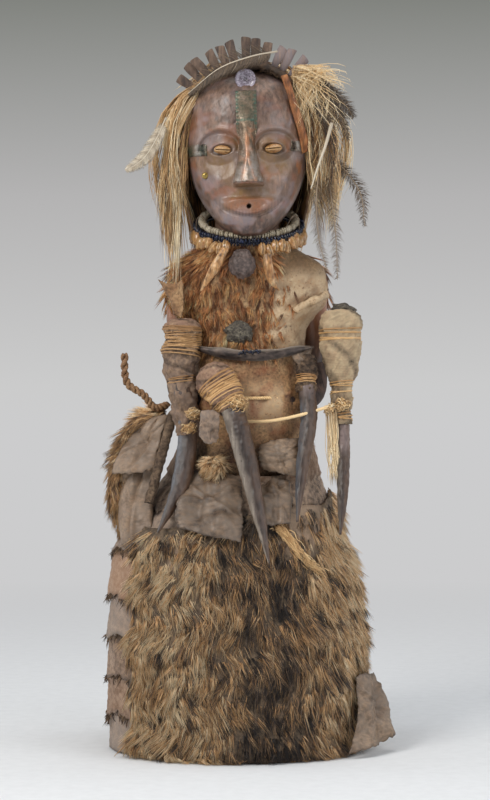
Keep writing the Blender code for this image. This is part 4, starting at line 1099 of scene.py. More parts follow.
def faceFittings():
    def creases(x, z):
        # the distance from the folded lines beside the nose
        return np.abs(np.abs(x) - 0.6 - 7.5 * clipped((752 - z) / 32) ** 1.3)

    def uneven(x, z, seed):
        return ripple(stacked(x, 0 * x, z), 16, seed)

    def stripShape(x, z):
        folds = 0.8 * np.exp(-(creases(x, z) / 1.1) ** 2) * rise(782, 770, z)
        groove = 0.7 * np.exp(-((z - 795 - 0.03 * x) / 0.9) ** 2)
        ribs = 0.35 * np.sin(z * 1.25) * np.exp(-((np.abs(x) - 11) / 1.3) ** 2) * rise(786, 792, z)
        return folds - groove + ribs

    def stripMarks(x, z):
        ribs = rise(7, 11.5, np.abs(x)) * rise(772, 790, z) * (0.6 + 0.5 * np.sin(z * 1.25))
        green = (ribs + hump((z - 795) / 2.5, 1) + 0.35 * rise(786, 800, z)) * (0.8 + 0.5 * uneven(x, z, 61))
        rubbed = np.exp(-(creases(x, z) / 1.6) ** 2) * rise(784, 770, z)
        worn = 0.5 * rise(0.2, 0.8, uneven(x, z, 62)) * rise(806, 780, z)
        dusty = rise(772, 745, z) * (0.55 + 0.6 * uneven(x, z, 63))
        wings = 0.9 * blob(np.abs(x) - 17, z - 721, 4, 6)
        return {"verdigris": clipped(green), "copper": clipped(rubbed + worn), "pale": clipped(dusty + wings)}

    facePanel("copperStrip", "copper_brow_strip", 832, 718, lambda z: (-stripEdges(z), stripEdges(z)),
              stripShape, stripMarks)
    temples = {"leftTemple": {"node": "temple_strip_left", "across": (-74, -51), "up": (767, 753), "darkEnd": -55},
               "rightTemple": {"node": "temple_strip_right", "across": (55, 75), "up": (768, 756), "darkEnd": 58}}
    for name, temple in temples.items():
        low, high = temple["across"]

        def templeMarks(x, z):
            return {"verdigris": clipped(0.45 + 0.5 * uneven(x, z, 64)),
                    "pale": hump((x - (low + high) / 2) / 7, 1),
                    "dark": hump((x - temple["darkEnd"]) / 4, 1)}

        facePanel(name, temple["node"], *temple["up"], lambda z: (low, high), lambda x, z: 0.3 * np.sin(z * 0.9),
                  templeMarks, 20, 26)

    def cowrieShape(way):
        x, y, z = way.T
        face = rise(0.1, 0.6, y) * rise(0.97, 0.80, np.abs(z))
        teeth = 0.5 + 0.5 * np.cos(z * 30)
        lips = 0.13 * np.exp(-((np.abs(x) - 0.27) / 0.12) ** 2) * (0.75 + 0.4 * teeth)
        return 1 - 0.10 * face + face * (lips - 0.42 * np.exp(-(x / 0.10) ** 2)) + 0.08 * z * (y < 0.5)

    def cowrieMarks(way):
        x, y, z = way.T
        face = rise(0.1, 0.5, y) * rise(1.0, 0.82, np.abs(z))
        # slit: painted shade in the shell's opening
        return {"slit": clipped(1.1 * np.exp(-(x / 0.15) ** 2) * face),
                "lip": np.exp(-((np.abs(x) - 0.3) / 0.15) ** 2) * face}

    for name, node, tilt in (("leftCowrie", "cowrie_eye_left", -0.06), ("rightCowrie", "cowrie_eye_right", 0.10)):
        centre = middleOf(node) - [0, 0.4, 0]
        shell = lump((0, 0, 0), np.eye(3), 34, 44, cowrieShape, cowrieMarks)
        s, c, half, length = math.sin(tilt), math.cos(tilt), 5.6, 10.8
        axes = np.array([[[s * -half, 0, c * half], [0, -half, 0], [c * length, 0, s * length]]])
        makePiece(name, scatter(shell, np.array([centre]), axes), shellFinish, [node])
    tack = lump(middleOf("cheek_tack"), np.diag([4.5, 3.3, 4.5]), 16, 24,
                lambda way: 1 - 0.05 * np.abs(way[:, 0] * way[:, 2]))
    makePiece("cheekTack", tack, brass, ["cheek_tack"])
    middle = facePlace(np.array(0.0), np.array(847.0), 5)
    profile = [(0.2, -1.0), (2.2, -1.1), (3.0, -2.1), (4.2, -2.3), (5.4, -1.7), (9.6, -2.0), (11.2, -3.0),
               (12.6, -2.6), (13.0, -1.4), (13.0, 2.2), (11.5, 2.5), (0.2, 2.5)]
    turn = turnsOf(56)
    rings = np.stack([middle + stacked(r * np.cos(turn), np.full(56, y), r * np.sin(turn)) for r, y in profile])
    darkness = [1, 1, .7, .2, .5, .0, .0, .0, .3, .8, .8, .8]
    makePiece("foreheadDisc", closedRings(rings, {"dark": np.repeat(darkness, 56)}), discFinish,
              ["forehead_disc"], sharp=50)
    return cowrieShape, cowrieMarks


cowrieShape, cowrieMarks = faceFittings()
print("face fitted")


# Fibre hair

strawFinish = fibrous("strawFibre", {
    "tones": [(0.0, (44, 28, 20)), (0.20, (120, 84, 52)), (0.42, (206, 164, 112)), (0.68, (244, 212, 160)),
              (1.0, (255, 244, 214))],
    "length": [(0.0, (205, 192, 180)), (0.4, (246, 242, 236)), (1.0, (255, 255, 255))],
    "dustColour": (190, 164, 128), "dust": 0.08, "rough": (0.6, 0.42)})
locks = {
    "left": {"node": "left_lock", "ends": 0.55, "fibres": 1350, "cordCurl": 2.8, "curl": 3.4, "narrow": 0.66,
             "strays": 0.08, "side": -1, "stations": [
        (524, -96, -50, 4, 6), (560, -94, -48, 8, 14), (600, -94, -40, 13, 22), (650, -95, -28, 17, 28),
        (700, -94, -22, 18, 33), (750, -90, -20, 21, 38), (795, -84, -20, 24, 38), (825, -70, -21, 25, 32),
        (850, -48, -24, 12, 16)]},
    "right": {"node": "right_lock", "ends": 0.9, "fibres": 1050, "cordCurl": 5.2, "curl": 4.4, "narrow": 0.82,
              "strays": 0.14, "side": 1, "stations": [
        (632, 105, -18, 5, 9), (665, 104, -18, 11, 19), (705, 102, -17, 16, 27), (750, 99, -17, 21, 34),
        (795, 93, -19, 26, 37), (826, 76, -21, 27, 33), (852, 52, -22, 13, 17)]},
}


def crownPlace(a, r, z):
    # over the top of the head and down behind it
    half, front, back, middle = follow(headStations, z)
    angle = np.radians(-112 + 224 * a)
    side, behind = np.sin(angle), -np.cos(angle)
    deep = np.where(behind < 0, back, front)
    return onHead((half + 1 + 6 * r) * side, middle - (deep + 1 + 6 * r) * behind, z + 3 + 3 * r)


backStations = [  # height, half width, outer depth, inner depth
    (572, 50, 66, 60), (610, 62, 74, 64), (650, 70, 84, 70), (700, 82, 94, 80), (745, 92, 101, 88),
    (785, 94, 105, 96), (825, 86, 99, 91), (852, 70, 84, 74), (876, 44, 54, 44),
]


def hairPaths(place, top, bottom, look, seed):
    draw = np.random.default_rng(seed)
    count, steps, cords = look["fibres"], look.get("steps", 8), look.get("cords", 26)
    cord = draw.integers(0, cords, count)
    a = (draw.random(cords)[cord] + 0.026 * draw.normal(size=count))[:, None]
    r = np.clip(0.62 + 0.50 * draw.random(cords)[cord] - 0.14 * draw.random(count) ** 2, 0, 1.12)[:, None]
    t = evenly(steps)[None]
    cordEnd = draw.random(cords)[cord] * 0.6 + draw.random(count) * 0.4
    end = bottom + (top - bottom) * 0.62 * cordEnd**look["ends"]
    start = top - look.get("startSpread", 26) * draw.random(count) ** 1.5
    z = start[:, None] + (end - start)[:, None] * t
    paths = place(a, r, z)
    for wave in range(3):
        sway = draw.normal(size=(cords, 1, 3))[cord] * [1, 0.7, 0.2] * look.get("cordCurl", 2.0) / (1 + wave)
        pace = (3 + 4 * wave) * (0.6 + draw.random((cords, 1, 1))[cord])
        start = 6 * draw.random((cords, 1, 1))[cord]
        paths = paths + sway * (np.sin(t[..., None] * pace + start) - np.sin(start) * (1 - t[..., None]))
        bend = draw.normal(size=(count, 1, 3)) * [1, 1, 0.3] * look.get("curl", 2.2) / (1 + wave)
        turn = t[..., None] * (3 + 4 * wave) * (0.6 + draw.random((count, 1, 1))) + 6 * draw.random((count, 1, 1))
        paths = paths + bend * np.sin(turn) * t[..., None]
    stray = (draw.random(count) < look.get("strays", 0.09))[:, None, None]
    paths = paths + stray * draw.normal(size=(count, 1, 3)) * [9, 7, 3] * t[..., None] ** 1.5
    tone = clipped(0.16 + 0.78 * draw.random(cords)[cord] + 0.20 * draw.normal(size=count))
    thick = look.get("thick", 0.62) * (0.6 + 0.8 * draw.random((count, 1))) * np.linspace(1, 0.5, steps - 1)[None]
    return strands(paths, thick, {"tone": tone})


def lockPlace(stations, shrink=1.0):
    def place(a, r, z):
        x, y, half, depth = follow(stations, z)
        angle = a * fullTurn
        return stacked(x + half * shrink * r * np.sin(angle), y - depth * shrink * r * np.cos(angle), z)
    return place


def backPlaceOf(a, r, z):
    half, outer, inner = follow(backStations, z)
    angle = np.radians(-84 + 168 * a)
    deep = inner + (outer - inner) * r + 4
    side = np.sign(np.sin(angle)) * np.abs(np.sin(angle)) ** 0.9
    return stacked((half - 9 * (1 - r)) * side, -4 + deep * np.maximum(np.cos(angle), 0) ** 0.9, z)


def hairCore(place, top, bottom, seed, rows=36, columns=66, wrap=True):
    # the imported inner fibres: a grooved body under the loose ones, coloured dark and darkest in its grooves,
    # painted shade inside the lock
    z = np.linspace(bottom, top, rows)[:, None]
    a = (np.arange(columns) / (columns if wrap else columns - 1))[None]
    spot = place(a + 0 * z, 0.5 + 0 * a + 0 * z, z + 0 * a)
    groove = 0.5 + 0.5 * np.sin(a * fullTurn * 31 + 2.5 * ripple(spot * [1, 1, 0.3], 40, seed))
    grid = place(a + 0 * z, 0.52 + 0.14 * groove + 0.12 * ripple(spot, 18, seed + 1), z + 0 * a)
    tone = clipped(0.06 + 0.26 * groove + 0.15 * ripple(spot * [1, 1, 0.2], 14, seed + 2))
    return (closedRings(grid, {"tone": tone, "along": 0.4 + 0 * tone}) if wrap
            else slab(grid, 4.0, {"tone": tone, "along": 0.4 + 0 * tone}))


def fibreHair():
    for name, lock in locks.items():
        place = lockPlace(lock["stations"], lock["narrow"])
        top, bottom = lock["stations"][-1][0], lock["stations"][0][0]
        core = hairCore(place, top - 3, bottom + (top - bottom) * 0.36, 71)
        loose = hairPaths(place, top, bottom, lock, 72 + lock["side"])
        makePiece(name + "Hair", joined([core, loose]), strawFinish, [lock["node"]], settle=False)
    backLook = {"fibres": 1150, "ends": 1.4, "cords": 60, "curl": 2.6, "cordCurl": 3.0, "thick": 0.75, "steps": 7}
    crownLook = {"fibres": 620, "ends": 0.7, "cords": 70, "curl": 1.2, "cordCurl": 1.6, "thick": 0.8, "steps": 6,
                 "strays": 0.04, "startSpread": 8}
    makePiece("backHair", joined([hairCore(backPlaceOf, 872, 640, 75, rows=30, columns=64, wrap=False),
                                  hairPaths(backPlaceOf, 874, 572, backLook, 76),
                                 hairPaths(crownPlace, 869, 790, crownLook, 78)]),
              strawFinish, ["back_locks"], settle=False)
    # the curls at the upper right and the fringe over the brow
    draw = np.random.default_rng(77)
    count, steps = 560, 8
    t = evenly(steps)[None, :, None]
    root = stacked(56 + 30 * draw.random(count), -46 + 22 * draw.random(count),
                   866 - 0.55 * 30 * draw.random(count))[:, None]
    reach = stacked(4 + 40 * draw.random(count) ** 1.3, -10 + 12 * draw.normal(size=count),
                    -6 - 78 * draw.random(count) ** 1.4)[:, None]
    curl = stacked(12 * np.sin(t[..., 0] * 6 + 6 * draw.random((count, 1))),
                   8 * np.cos(t[..., 0] * 6 + 6 * draw.random((count, 1))),
                   9 * np.sin(t[..., 0] * 3.1) + 0 * draw.random((count, 1)))
    paths = root + reach * t + curl * t
    paths[..., 2] = np.minimum(paths[..., 2], 888)
    makePiece("paleCurls", strands(paths, 0.42 * np.linspace(1, 0.6, steps - 1)[None],
                                   {"tone": 0.55 + 0.4 * draw.random(count)}),
              strawFinish, settle=False)


fibreHair()
print("hair tied")


# Crest, headband, feathers and strap

crest = {"up": 790, "back": -38, "reach": 75, "first": -56, "last": 48, "blades": 13, "length": 34, "width": 11.2,
         "thick": 4.5}
crestFinish = natural("weatheredBlade", {
    "blotches": 60, "grain": 240, "grainStretch": (1, 1, 0.12), "grainDark": 118, "stretch": (1, 1, 0.5),
    "colours": [(0.3, (76, 58, 46)), (0.5, (106, 84, 67)), (0.7, (140, 114, 94))],
    "stains": [("lilac", (160, 150, 156), 0.8)],
    "rough": (0.85, 0.65), "relief": 0.6})
feltFinish = fibrous("darkFelt", {
    "tones": [(0.0, (44, 33, 27)), (0.5, (92, 70, 52)), (1.0, (150, 118, 84))],
    "length": [(0.0, (170, 165, 160)), (1.0, (255, 255, 255))],
    "dustColour": (120, 100, 80), "rough": (0.85, 0.65)})


def crestPlace(angle, reach, back=0.0):
    return stacked(headMiddle + reach * np.sin(angle), crest["back"] + back + 16 * np.sin(angle) ** 2,
                   crest["up"] + reach * np.cos(angle))


def crestBlades():
    for index in range(crest["blades"]):
        angle = math.radians(crest["first"] + (crest["last"] - crest["first"]) * index / (crest["blades"] - 1))
        lean = math.radians(5) * math.sin(index * 2.3)
        up = np.array([math.sin(angle + lean), 0.06 * math.sin(index * 1.7), math.cos(angle + lean)])
        across = np.array([math.cos(angle + lean), 0, -math.sin(angle + lean)])
        length = crest["length"] * (1 + 0.07 * math.sin(index * 1.3))
        h, s = np.meshgrid(evenly(26), np.linspace(-1, 1, 12), indexing="ij")
        half = crest["width"] / 2 * (0.50 + 0.50 * np.sin(1.75 * h)) * (1 + 0.05 * np.sin(h * 9 + index))
        reach = length * h * (1 + 0.04 * s * math.sin(index * 2.7) - 0.03 * s**4)
        grid = crestPlace(angle, crest["reach"]) + up * reach[..., None] + across * (half * s)[..., None]
        grid = grid + np.array([0, 1.0, 0]) * (1.2 * (s**2) + 1.6 * np.sin(h * 2.5 + index))[..., None]
        thick = crest["thick"] * (0.9 - 0.35 * s**4 - 0.2 * h) + 0.35 * ripple(grid, 7, 80 + index)
        lilac = np.full(h.shape, 0.6 if index in (9, 10, 11) else 0.08)
        makePiece(f"crestBlade{index + 1:02d}", slab(grid, thick, {"lilac": lilac}), crestFinish,
                  [f"crest_blade_{index + 1:02d}"], sharp=42)
    angle = np.linspace(math.radians(-80), math.radians(76), 90)
    turn = turnsOf(26)
    rings = crestPlace(angle[:, None], crest["reach"] + 5.2 * np.cos(turn)[None], 12.5 * np.sin(turn)[None])
    rings += 0.8 * ripple(rings, 9, 81)[..., None]
    band = closedRings(rings, {"tone": clipped(0.25 + 0.3 * ripple(rings, 12, 82)),
                               "along": 0.5 + 0 * rings[..., 0]})

    def bandPlace(u, v):
        turn = 3.2 - 2.9 * v
        return crestPlace(np.radians(-80 + 156 * u), crest["reach"] + 5 * np.cos(turn), 13 * np.sin(turn) - 2)
    hairs = furCoat(bandPlace, {"fibres": 3400, "perTuft": 6, "tuft": 1.6, "length": 15, "lift": 2.2, "lean": 0.5,
                                "thick": 0.5, "tone": lambda places, u, v: 0.45 + 0.3 * ripple(places, 20, 83)}, 84)
    makePiece("headband", joined([band, hairs]), feltFinish, ["headband"], settle=False)


plumeFinish = fibrous("plume", {
    "tones": [(0.0, (40, 32, 28)), (0.35, (84, 68, 56)), (0.6, (138, 114, 88)), (0.82, (208, 196, 176)),
              (1.0, (236, 226, 206))],
    "length": [(0.0, (210, 205, 200)), (1.0, (255, 255, 255))], "dustColour": (150, 134, 112),
    "rough": (0.6, 0.45)})
wispy = {"barbs": 130, "ragged": 0.22, "lean": 0.9, "loose": 1.6, "thick": 0.36, "tone": 0.42, "quillTone": 0.65}
dark = {**wispy, "barbs": 120, "tone": 0.30, "thick": 0.5, "quillTone": 0.5}
plumes = {
    "whiteFeather": {
        "nodes": ["white_feather"],
        "spine": [(-102, -40, 800), (-114, -52, 772), (-130, -53, 748), (-152, -46, 733)], "width": 10,
        "look": {"barbs": 210, "ragged": 0.06, "lean": 0.8, "loose": 0.4, "thick": 0.55, "tone": 0.88, "bars": 0.10,
                 "toneSpread": 0.05, "quillTone": 0.95}, "slot": "feather_white", "seed": 91},
    "browFeather": {
        "nodes": ["brow_feather"],
        "spine": [(38, -50, 882), (4, -66, 874), (-36, -62, 859), (-74, -40, 830)], "width": 17,
        "facing": (0, -0.9, 0.43),
        "look": {"barbs": 340, "ragged": 0.10, "lean": 0.8, "loose": 0.9, "thick": 0.5, "tone": 0.36, "cup": -0.1,
                 "only": -1.0, "quillTone": 0.86, "quill": 1.3}, "seed": 92},
    "longFeather": {
        "nodes": ["long_feather"],
        "spine": [(98, -40, 742), (106, -42, 700), (112, -42, 650), (114, -42, 596)], "width": 8.5,
        "facing": (0.35, -0.94, 0), "look": wispy, "seed": 93},
    "shortFeather": {
        "nodes": ["short_feather"],
        "spine": [(91, -41, 738), (87, -50, 694), (90, -50, 650), (101, -50, 606)], "width": 7,
        "look": wispy, "seed": 94},
    "curledFeather": {
        "nodes": ["curled_feather"],
        "spine": [(106, -22, 750), (126, -22, 732), (144, -22, 704), (149, -22, 664)], "width": 9,
        "look": {**wispy, "barbs": 170, "tone": 0.36}, "seed": 95},
    "darkPlume1": {
        "spine": [(84, -44, 850), (98, -50, 838), (112, -46, 818), (122, -40, 796)], "width": 8.5,
        "facing": (0.2, -1, 0), "look": dark, "seed": 200},
    "darkPlume2": {
        "spine": [(86, -48, 838), (102, -52, 822), (118, -46, 800), (128, -38, 772)], "width": 8.5,
        "facing": (0.2, -1, 0), "look": dark, "seed": 201},
    "darkPlume3": {
        "spine": [(84, -52, 826), (92, -58, 808), (104, -52, 784), (108, -44, 756)], "width": 8.5,
        "facing": (0.2, -1, 0), "look": dark, "seed": 202},
    "darkPlume4": {
        "spine": [(88, -46, 846), (106, -46, 832), (124, -40, 816), (134, -34, 800)], "width": 8.5,
        "facing": (0.2, -1, 0), "look": dark, "seed": 203},
    "paleStalk": {
        "spine": [(106, -56, 792), (98, -66, 764), (88, -70, 736), (80, -66, 710)], "width": 1.6,
        "look": {"barbs": 30, "ragged": 0.4, "lean": 0.9, "loose": 0.6, "thick": 0.3, "tone": 0.8, "quillTone": 0.9,
                 "quill": 2.2},
        "slot": "feather_white", "seed": 205},
}


def feather(name, nodes, spine, width, facing, look, finish, seed):
    draw = np.random.default_rng(seed)
    line = curve(spine, evenly(40))
    quill = tube(line, np.linspace(1.1, 0.35, 40) * look.get("quill", 1), 8, values={"tone": look["quillTone"]})
    count = look["barbs"]
    s = np.tile(np.linspace(0.10, 0.99, count), 2) + 0.004 * draw.normal(size=2 * count)
    side = np.repeat([-1.0, 1.0], count)
    if "only" in look:
        keep = (side == look["only"]) | (draw.random(2 * count) < 0.25)
        s, side = s[keep], side[keep]
    root = curve(spine, s)
    ahead = unit(curve(spine, np.minimum(s + 0.02, 1)) - curve(spine, np.maximum(s - 0.02, 0)))
    across = unit(np.cross(ahead, np.asarray(facing, float))) * side[:, None]
    out = unit(np.cross(across, ahead)) * side[:, None]
    reach = (width * np.sin(math.pi * np.minimum(s * 0.86 + 0.12, 1)) ** 0.6
             * (1 + look["ragged"] * draw.normal(size=len(s))))[:, None]
    t = evenly(4)[None, :, None]
    lean = look["lean"] * (1 + 0.15 * draw.normal(size=(len(s), 1, 1)))
    paths = root[:, None] + across[:, None] * reach[:, None] * t + ahead[:, None] * reach[:, None] * (lean * t**1.4)
    paths = paths - out[:, None] * (look.get("cup", 0.12) * reach[:, None] * t**2)
    paths = paths + draw.normal(size=(len(s), 1, 3)) * look["loose"] * t**1.5 * [1, 0.5, 1]
    tone = clipped(look["tone"] + look.get("toneSpread", 0.12) * draw.normal(size=len(s)) + look.get("bars", 0)
                   * np.sin(s * 42))
    barbs = strands(paths, look["thick"] * np.linspace(1, 0.7, 3)[None], {"tone": tone})
    makePiece(name, joined([quill, barbs]), finish, nodes, settle=False)


def feathers():
    for name, made in plumes.items():
        feather(name, made.get("nodes", []), made["spine"], made["width"], made.get("facing", (0, -1, 0)),
                made["look"], plumeFinish, made["seed"])


crestBlades()
feathers()


strapFinish = natural("strapLeather", {
    "blotches": 70, "grain": 330, "grainStretch": (1, 1, 0.3), "grainDark": 150,
    "colours": [(0.3, (116, 68, 36)), (0.5, (156, 96, 52)), (0.7, (184, 126, 76))], "rough": (0.6, 0.42),
    "relief": 0.4})


def browStrap():
    spine = [(46, -56, 852), (56, -56, 822), (66, -54, 792), (74, -42, 757)]
    t = evenly(50)
    line = curve(spine, t)
    ahead = unit(np.gradient(line, axis=0))
    across = unit(np.cross(ahead, [0.55, -0.83, 0]))
    s = np.linspace(-1, 1, 12)
    half = (4.5 + 1.8 * t) * (1 + 0.05 * np.sin(t * 15))
    outward = unit(np.cross(across, ahead))
    lift = (0.9 * s**2)[None] + 0.7 * np.sin(t * 8)[:, None]
    grid = line[:, None] + across[:, None] * (half[:, None] * s)[..., None] + outward[:, None] * lift[..., None]
    makePiece("browStrap", slab(grid, 2.3, rounding=0.4), strapFinish, ["brow_strap"], sharp=50)


browStrap()
print("headdress ready")


# Neck: collars, shell strings, bone, tooth and pouch

bead = {"pitch": 3.1}
collar = {"half": 57, "depth": 47, "middle": -8, "height": 670, "tilt": 20}
paleBead = natural("paleBead",
                   {"blotches": 190, "grain": 600, "grainDark": 150,
                    "colours": [(0.3, (150, 132, 104)), (0.5, (200, 186, 160)), (0.7, (226, 216, 196))],
                    "rough": (0.3, 0.5), "relief": 0.1})
blueBead = natural("blueBead",
                   {"blotches": 190, "grain": 600, "grainDark": 130,
                    "colours": [(0.3, (13, 15, 24)), (0.5, (22, 27, 46)), (0.7, (40, 52, 92))],
                    "rough": (0.15, 0.35), "relief": 0.08})
boneFinish = natural("agedBone", {"blotches": 90, "grain": 360, "grainStretch": (1, 1, 0.3), "grainDark": 130,
                                  "colours": [(0.3, (150, 98, 52)), (0.5, (196, 146, 94)), (0.7, (226, 190, 144))],
                                  "stains": [("dark", (40, 26, 18), 1.0)], "rough": (0.3, 0.5), "relief": 0.2})
resin = natural("grittyResin", {"blotches": 120, "grain": 420, "grainDark": 90, "swell": 2.0,
                                "colours": [(0.3, (66, 58, 52)), (0.5, (98, 90, 80)), (0.7, (132, 124, 108))],
                                "specks": {"scale": 520, "from": 0.60, "strength": 0.5, "colour": (150, 142, 112)},
                                "rough": (0.9, 0.7), "relief": 1.0})
pouchSkin = natural("pouchSkin",
                    {"blotches": 60, "grain": 300, "grainDark": 130,
                     "colours": [(0.3, (72, 60, 56)), (0.5, (104, 88, 82)), (0.7, (130, 112, 104))],
                     "rough": (0.7, 0.5), "relief": 0.6})


def collarPlace(angle, grow, drop):
    s, c = np.sin(angle), np.cos(angle)
    return stacked(headMiddle * 0.6 + (collar["half"] + grow) * s, collar["middle"] - (collar["depth"] + grow) * c,
                   collar["height"] - collar["tilt"] * c - drop)


def roundNeck(angle):
    # the ways along the collar and out from it
    s, c = np.sin(angle), np.cos(angle)
    return stacked(c, s, 0 * angle), stacked(s, -c, 0 * angle)


def beadRows(name, node, rows, grow, drop, finish, seed):
    draw = np.random.default_rng(seed)
    parts = []
    for turn, size in rows:
        count = int(352 / (bead["pitch"] * size / 5))
        angle = turnsOf(count) + 0.01 * draw.normal(size=count)
        place = (collarPlace(angle, grow + 3.5 * math.cos(turn), drop - 3.5 * math.sin(turn))
                 + draw.normal(size=(count, 3)) * 0.35)
        along, out = roundNeck(angle)
        axes = (np.stack([along * 0.45 * bead["pitch"] * size / 5, out * size,
                          np.broadcast_to([0, 0, size], (count, 3))], 1)
                * (0.9 + 0.16 * draw.random((count, 1, 1))))
        parts.append(scatter(lump((0, 0, 0), np.eye(3)[[2, 0, 1]], 6, 9, lambda w: 1 - 0.25 * np.abs(w[:, 2]) ** 3),
                             place, axes))
    cordLine = collarPlace(np.linspace(0, fullTurn, 90), grow, drop)
    parts.append(tube(cordLine, 3.0, 8))
    makePiece(name, joined(parts), finish, [node], settle=False)


def neckDress():
    beadRows("whiteCollar", "white_bead_collar", [(0.3, 5.0)], 0, 0, paleBead, 101)
    beadRows("blueCollar", "blue_bead_collar", [(0.5, 4.2), (-0.9, 3.2)], 8, 7, blueBead, 102)
    shell = lump((0, 0, 0), np.eye(3), 18, 24, cowrieShape, cowrieMarks)
    for name, node, first, last, count in (("leftShells", "shell_string_left", -92, -24, 10),
                                           ("rightShells", "shell_string_right", 14, 88, 11)):
        draw = np.random.default_rng(count)
        angle = np.radians(np.linspace(first, last, count))
        along, out = roundNeck(angle)
        hang = unit(np.array([0, 0, -1.0]) + out * (0.25 + 0.25 * draw.random((count, 1)))
                    + along * 0.35 * draw.normal(size=(count, 1)))
        wide = unit(along - hang * (along * hang).sum(1, keepdims=True))
        face = np.cross(hang, wide)
        face = face * np.sign((face * out).sum(1, keepdims=True))
        size = (0.92 + 0.16 * draw.random((count, 1)))
        centre = (collarPlace(angle, 12.5, 15 + 3 * np.sin(np.arange(count) * 1.9))
                  + 0.6 * draw.normal(size=(count, 3)))
        axes = np.stack([wide * 5.9 * size, face * 5.6 * size, hang * 8.8 * size], 1)
        # the cord behind the shells takes the slit colour: painted shade between the shells
        cord = tube(collarPlace(np.radians(np.linspace(first, last, 40)), 10, 9), 1.5, 6, values={"slit": 0.6})
        makePiece(name, joined([scatter(shell, centre, axes), cord]), shellFinish, [node], settle=False)

    def pouchShape(way):
        x, y, z = way.T
        pleats = 0.04 * np.sin(np.arctan2(y, x) * 13) * rise(0.3, 0.8, z)
        return 1 + 0.05 * ripple(way * 20, 12, 103) - 0.10 * hump(z - 0.62, 0.2) + pleats

    pouch = lump((-6, -66, 616), np.diag([17, 15, 18.0]), 40, 52, pouchShape)
    makePiece("throatPouch", pouch, pouchSkin, ["throat_pouch"])
    bone = tube(curve([(-27, -72, 635), (-41, -76, 610), (-58, -70, 582)], evenly(40)),
                eased([4.5, 6, 0.9], evenly(40)), 24, 0.6)
    # painted shade: the hole near the top of the bone point is pressed in a little and coloured dark
    hole = hump(np.linalg.norm(bone[0] - [-33, -77, 627], axis=1) / 3.4, 1)
    makePiece("bonePoint", (bone[0] + [0, 0.5, 0] * hole[:, None], bone[1], {"dark": hole}), boneFinish,
              ["bone_point"])
    claw = tube(curve([(25, -76, 628), (27, -80, 610), (31, -78, 594), (40, -72, 583)], evenly(40)),
                eased([5, 6, 4, 0.9], evenly(40)), 22)
    makePiece("curvedTooth", (claw[0], claw[1], {"dark": 0.7 * rise(0.16, 0.02, claw[2]["along"])}), boneFinish,
              ["curved_tooth"])
    wires = []
    for side, reach in ((-1, 58), (1, 60)):
        loop = [(side * (reach - 10), -46, 664), (side * (reach - 2), -50, 676), (side * (reach + 5), -46, 672),
                (side * (reach + 6), -40, 658)]
        wires.append(tube(curve(loop, evenly(30)), 0.6, 8, values={"dark": 0.4}))
    makePiece("neckWires", joined(wires), patina)


neckDress()
print("neck dressed")


# Horns and their bundles

# the blue stain is a painted reflection, the pale stain a painted highlight and the dark stain partly painted shade
hornFinish = natural("oldHorn", {
    "blotches": 30, "grain": 260, "grainStretch": (1, 1, 0.14), "grainDark": 120, "stretch": (1, 1, 0.4),
    "colours": [(0.3, (48, 37, 32)), (0.48, (71, 56, 49)), (0.62, (91, 76, 67)), (0.75, (107, 94, 86))],
    "stains": [("mauve", (138, 120, 116), 0.9), ("pale", (168, 156, 142), 0.8), ("brown", (104, 74, 50), 0.85),
               ("dark", (34, 27, 25), 0.9), ("blue", (120, 130, 142), 0.7)],
    "specks": {"scale": 240, "from": 0.63, "strength": 0.6, "colour": (42, 32, 28)}, "rough": (0.34, 0.58),
    "relief": 0.5})
horns = {
    "leftHorn": {"node": "horn_left", "keel": 0.0, "grooves": 0.2, "mauve": 0.0, "blue": 1.0, "pale": 0.2,
                 "path": [(-82, -74, 470), (-74, -82, 410), (-82, -100, 345), (-110, -124, 284)],
                 "radii": [17, 13, 12, 1.5]},
    "centreHorn": {"node": "horn_centre", "keel": 0.24, "grooves": 0.8, "mauve": 0.0, "blue": 0.0, "pale": 1.0,
                   "path": [(-18, -110, 436), (-4, -122, 388), (12, -138, 320), (27, -160, 250)],
                   "radii": [15, 14, 10, 1.4]},
    "rightHorn": {"node": "horn_right", "keel": 0.1, "grooves": 0.3, "mauve": 0.1, "blue": 0.9, "pale": 0.1,
                  "path": [(74, -70, 468), (77, -84, 420), (68, -104, 360), (62, -128, 298)],
                  "radii": [11, 11, 8, 1.6]},
    "farHorn": {"node": "horn_far_right", "keel": 0.0, "grooves": 0.2, "mauve": 0.25, "blue": 0.1, "pale": 0.5,
                "path": [(119, -62, 414), (120, -72, 370), (119, -88, 325), (116, -104, 280)],
                "radii": [10, 9, 7, 1.5]},
}


def stem(body, steps, sides):
    # shares along a bent round body, its middle line and radii, the angles round it and the ways out
    t = evenly(steps)
    path = curve(body["path"], t)
    out = ringsAlong(path, np.ones(steps), sides) - path[:, None]
    return t, path, eased(body["radii"], t), turnsOf(sides)[None], out


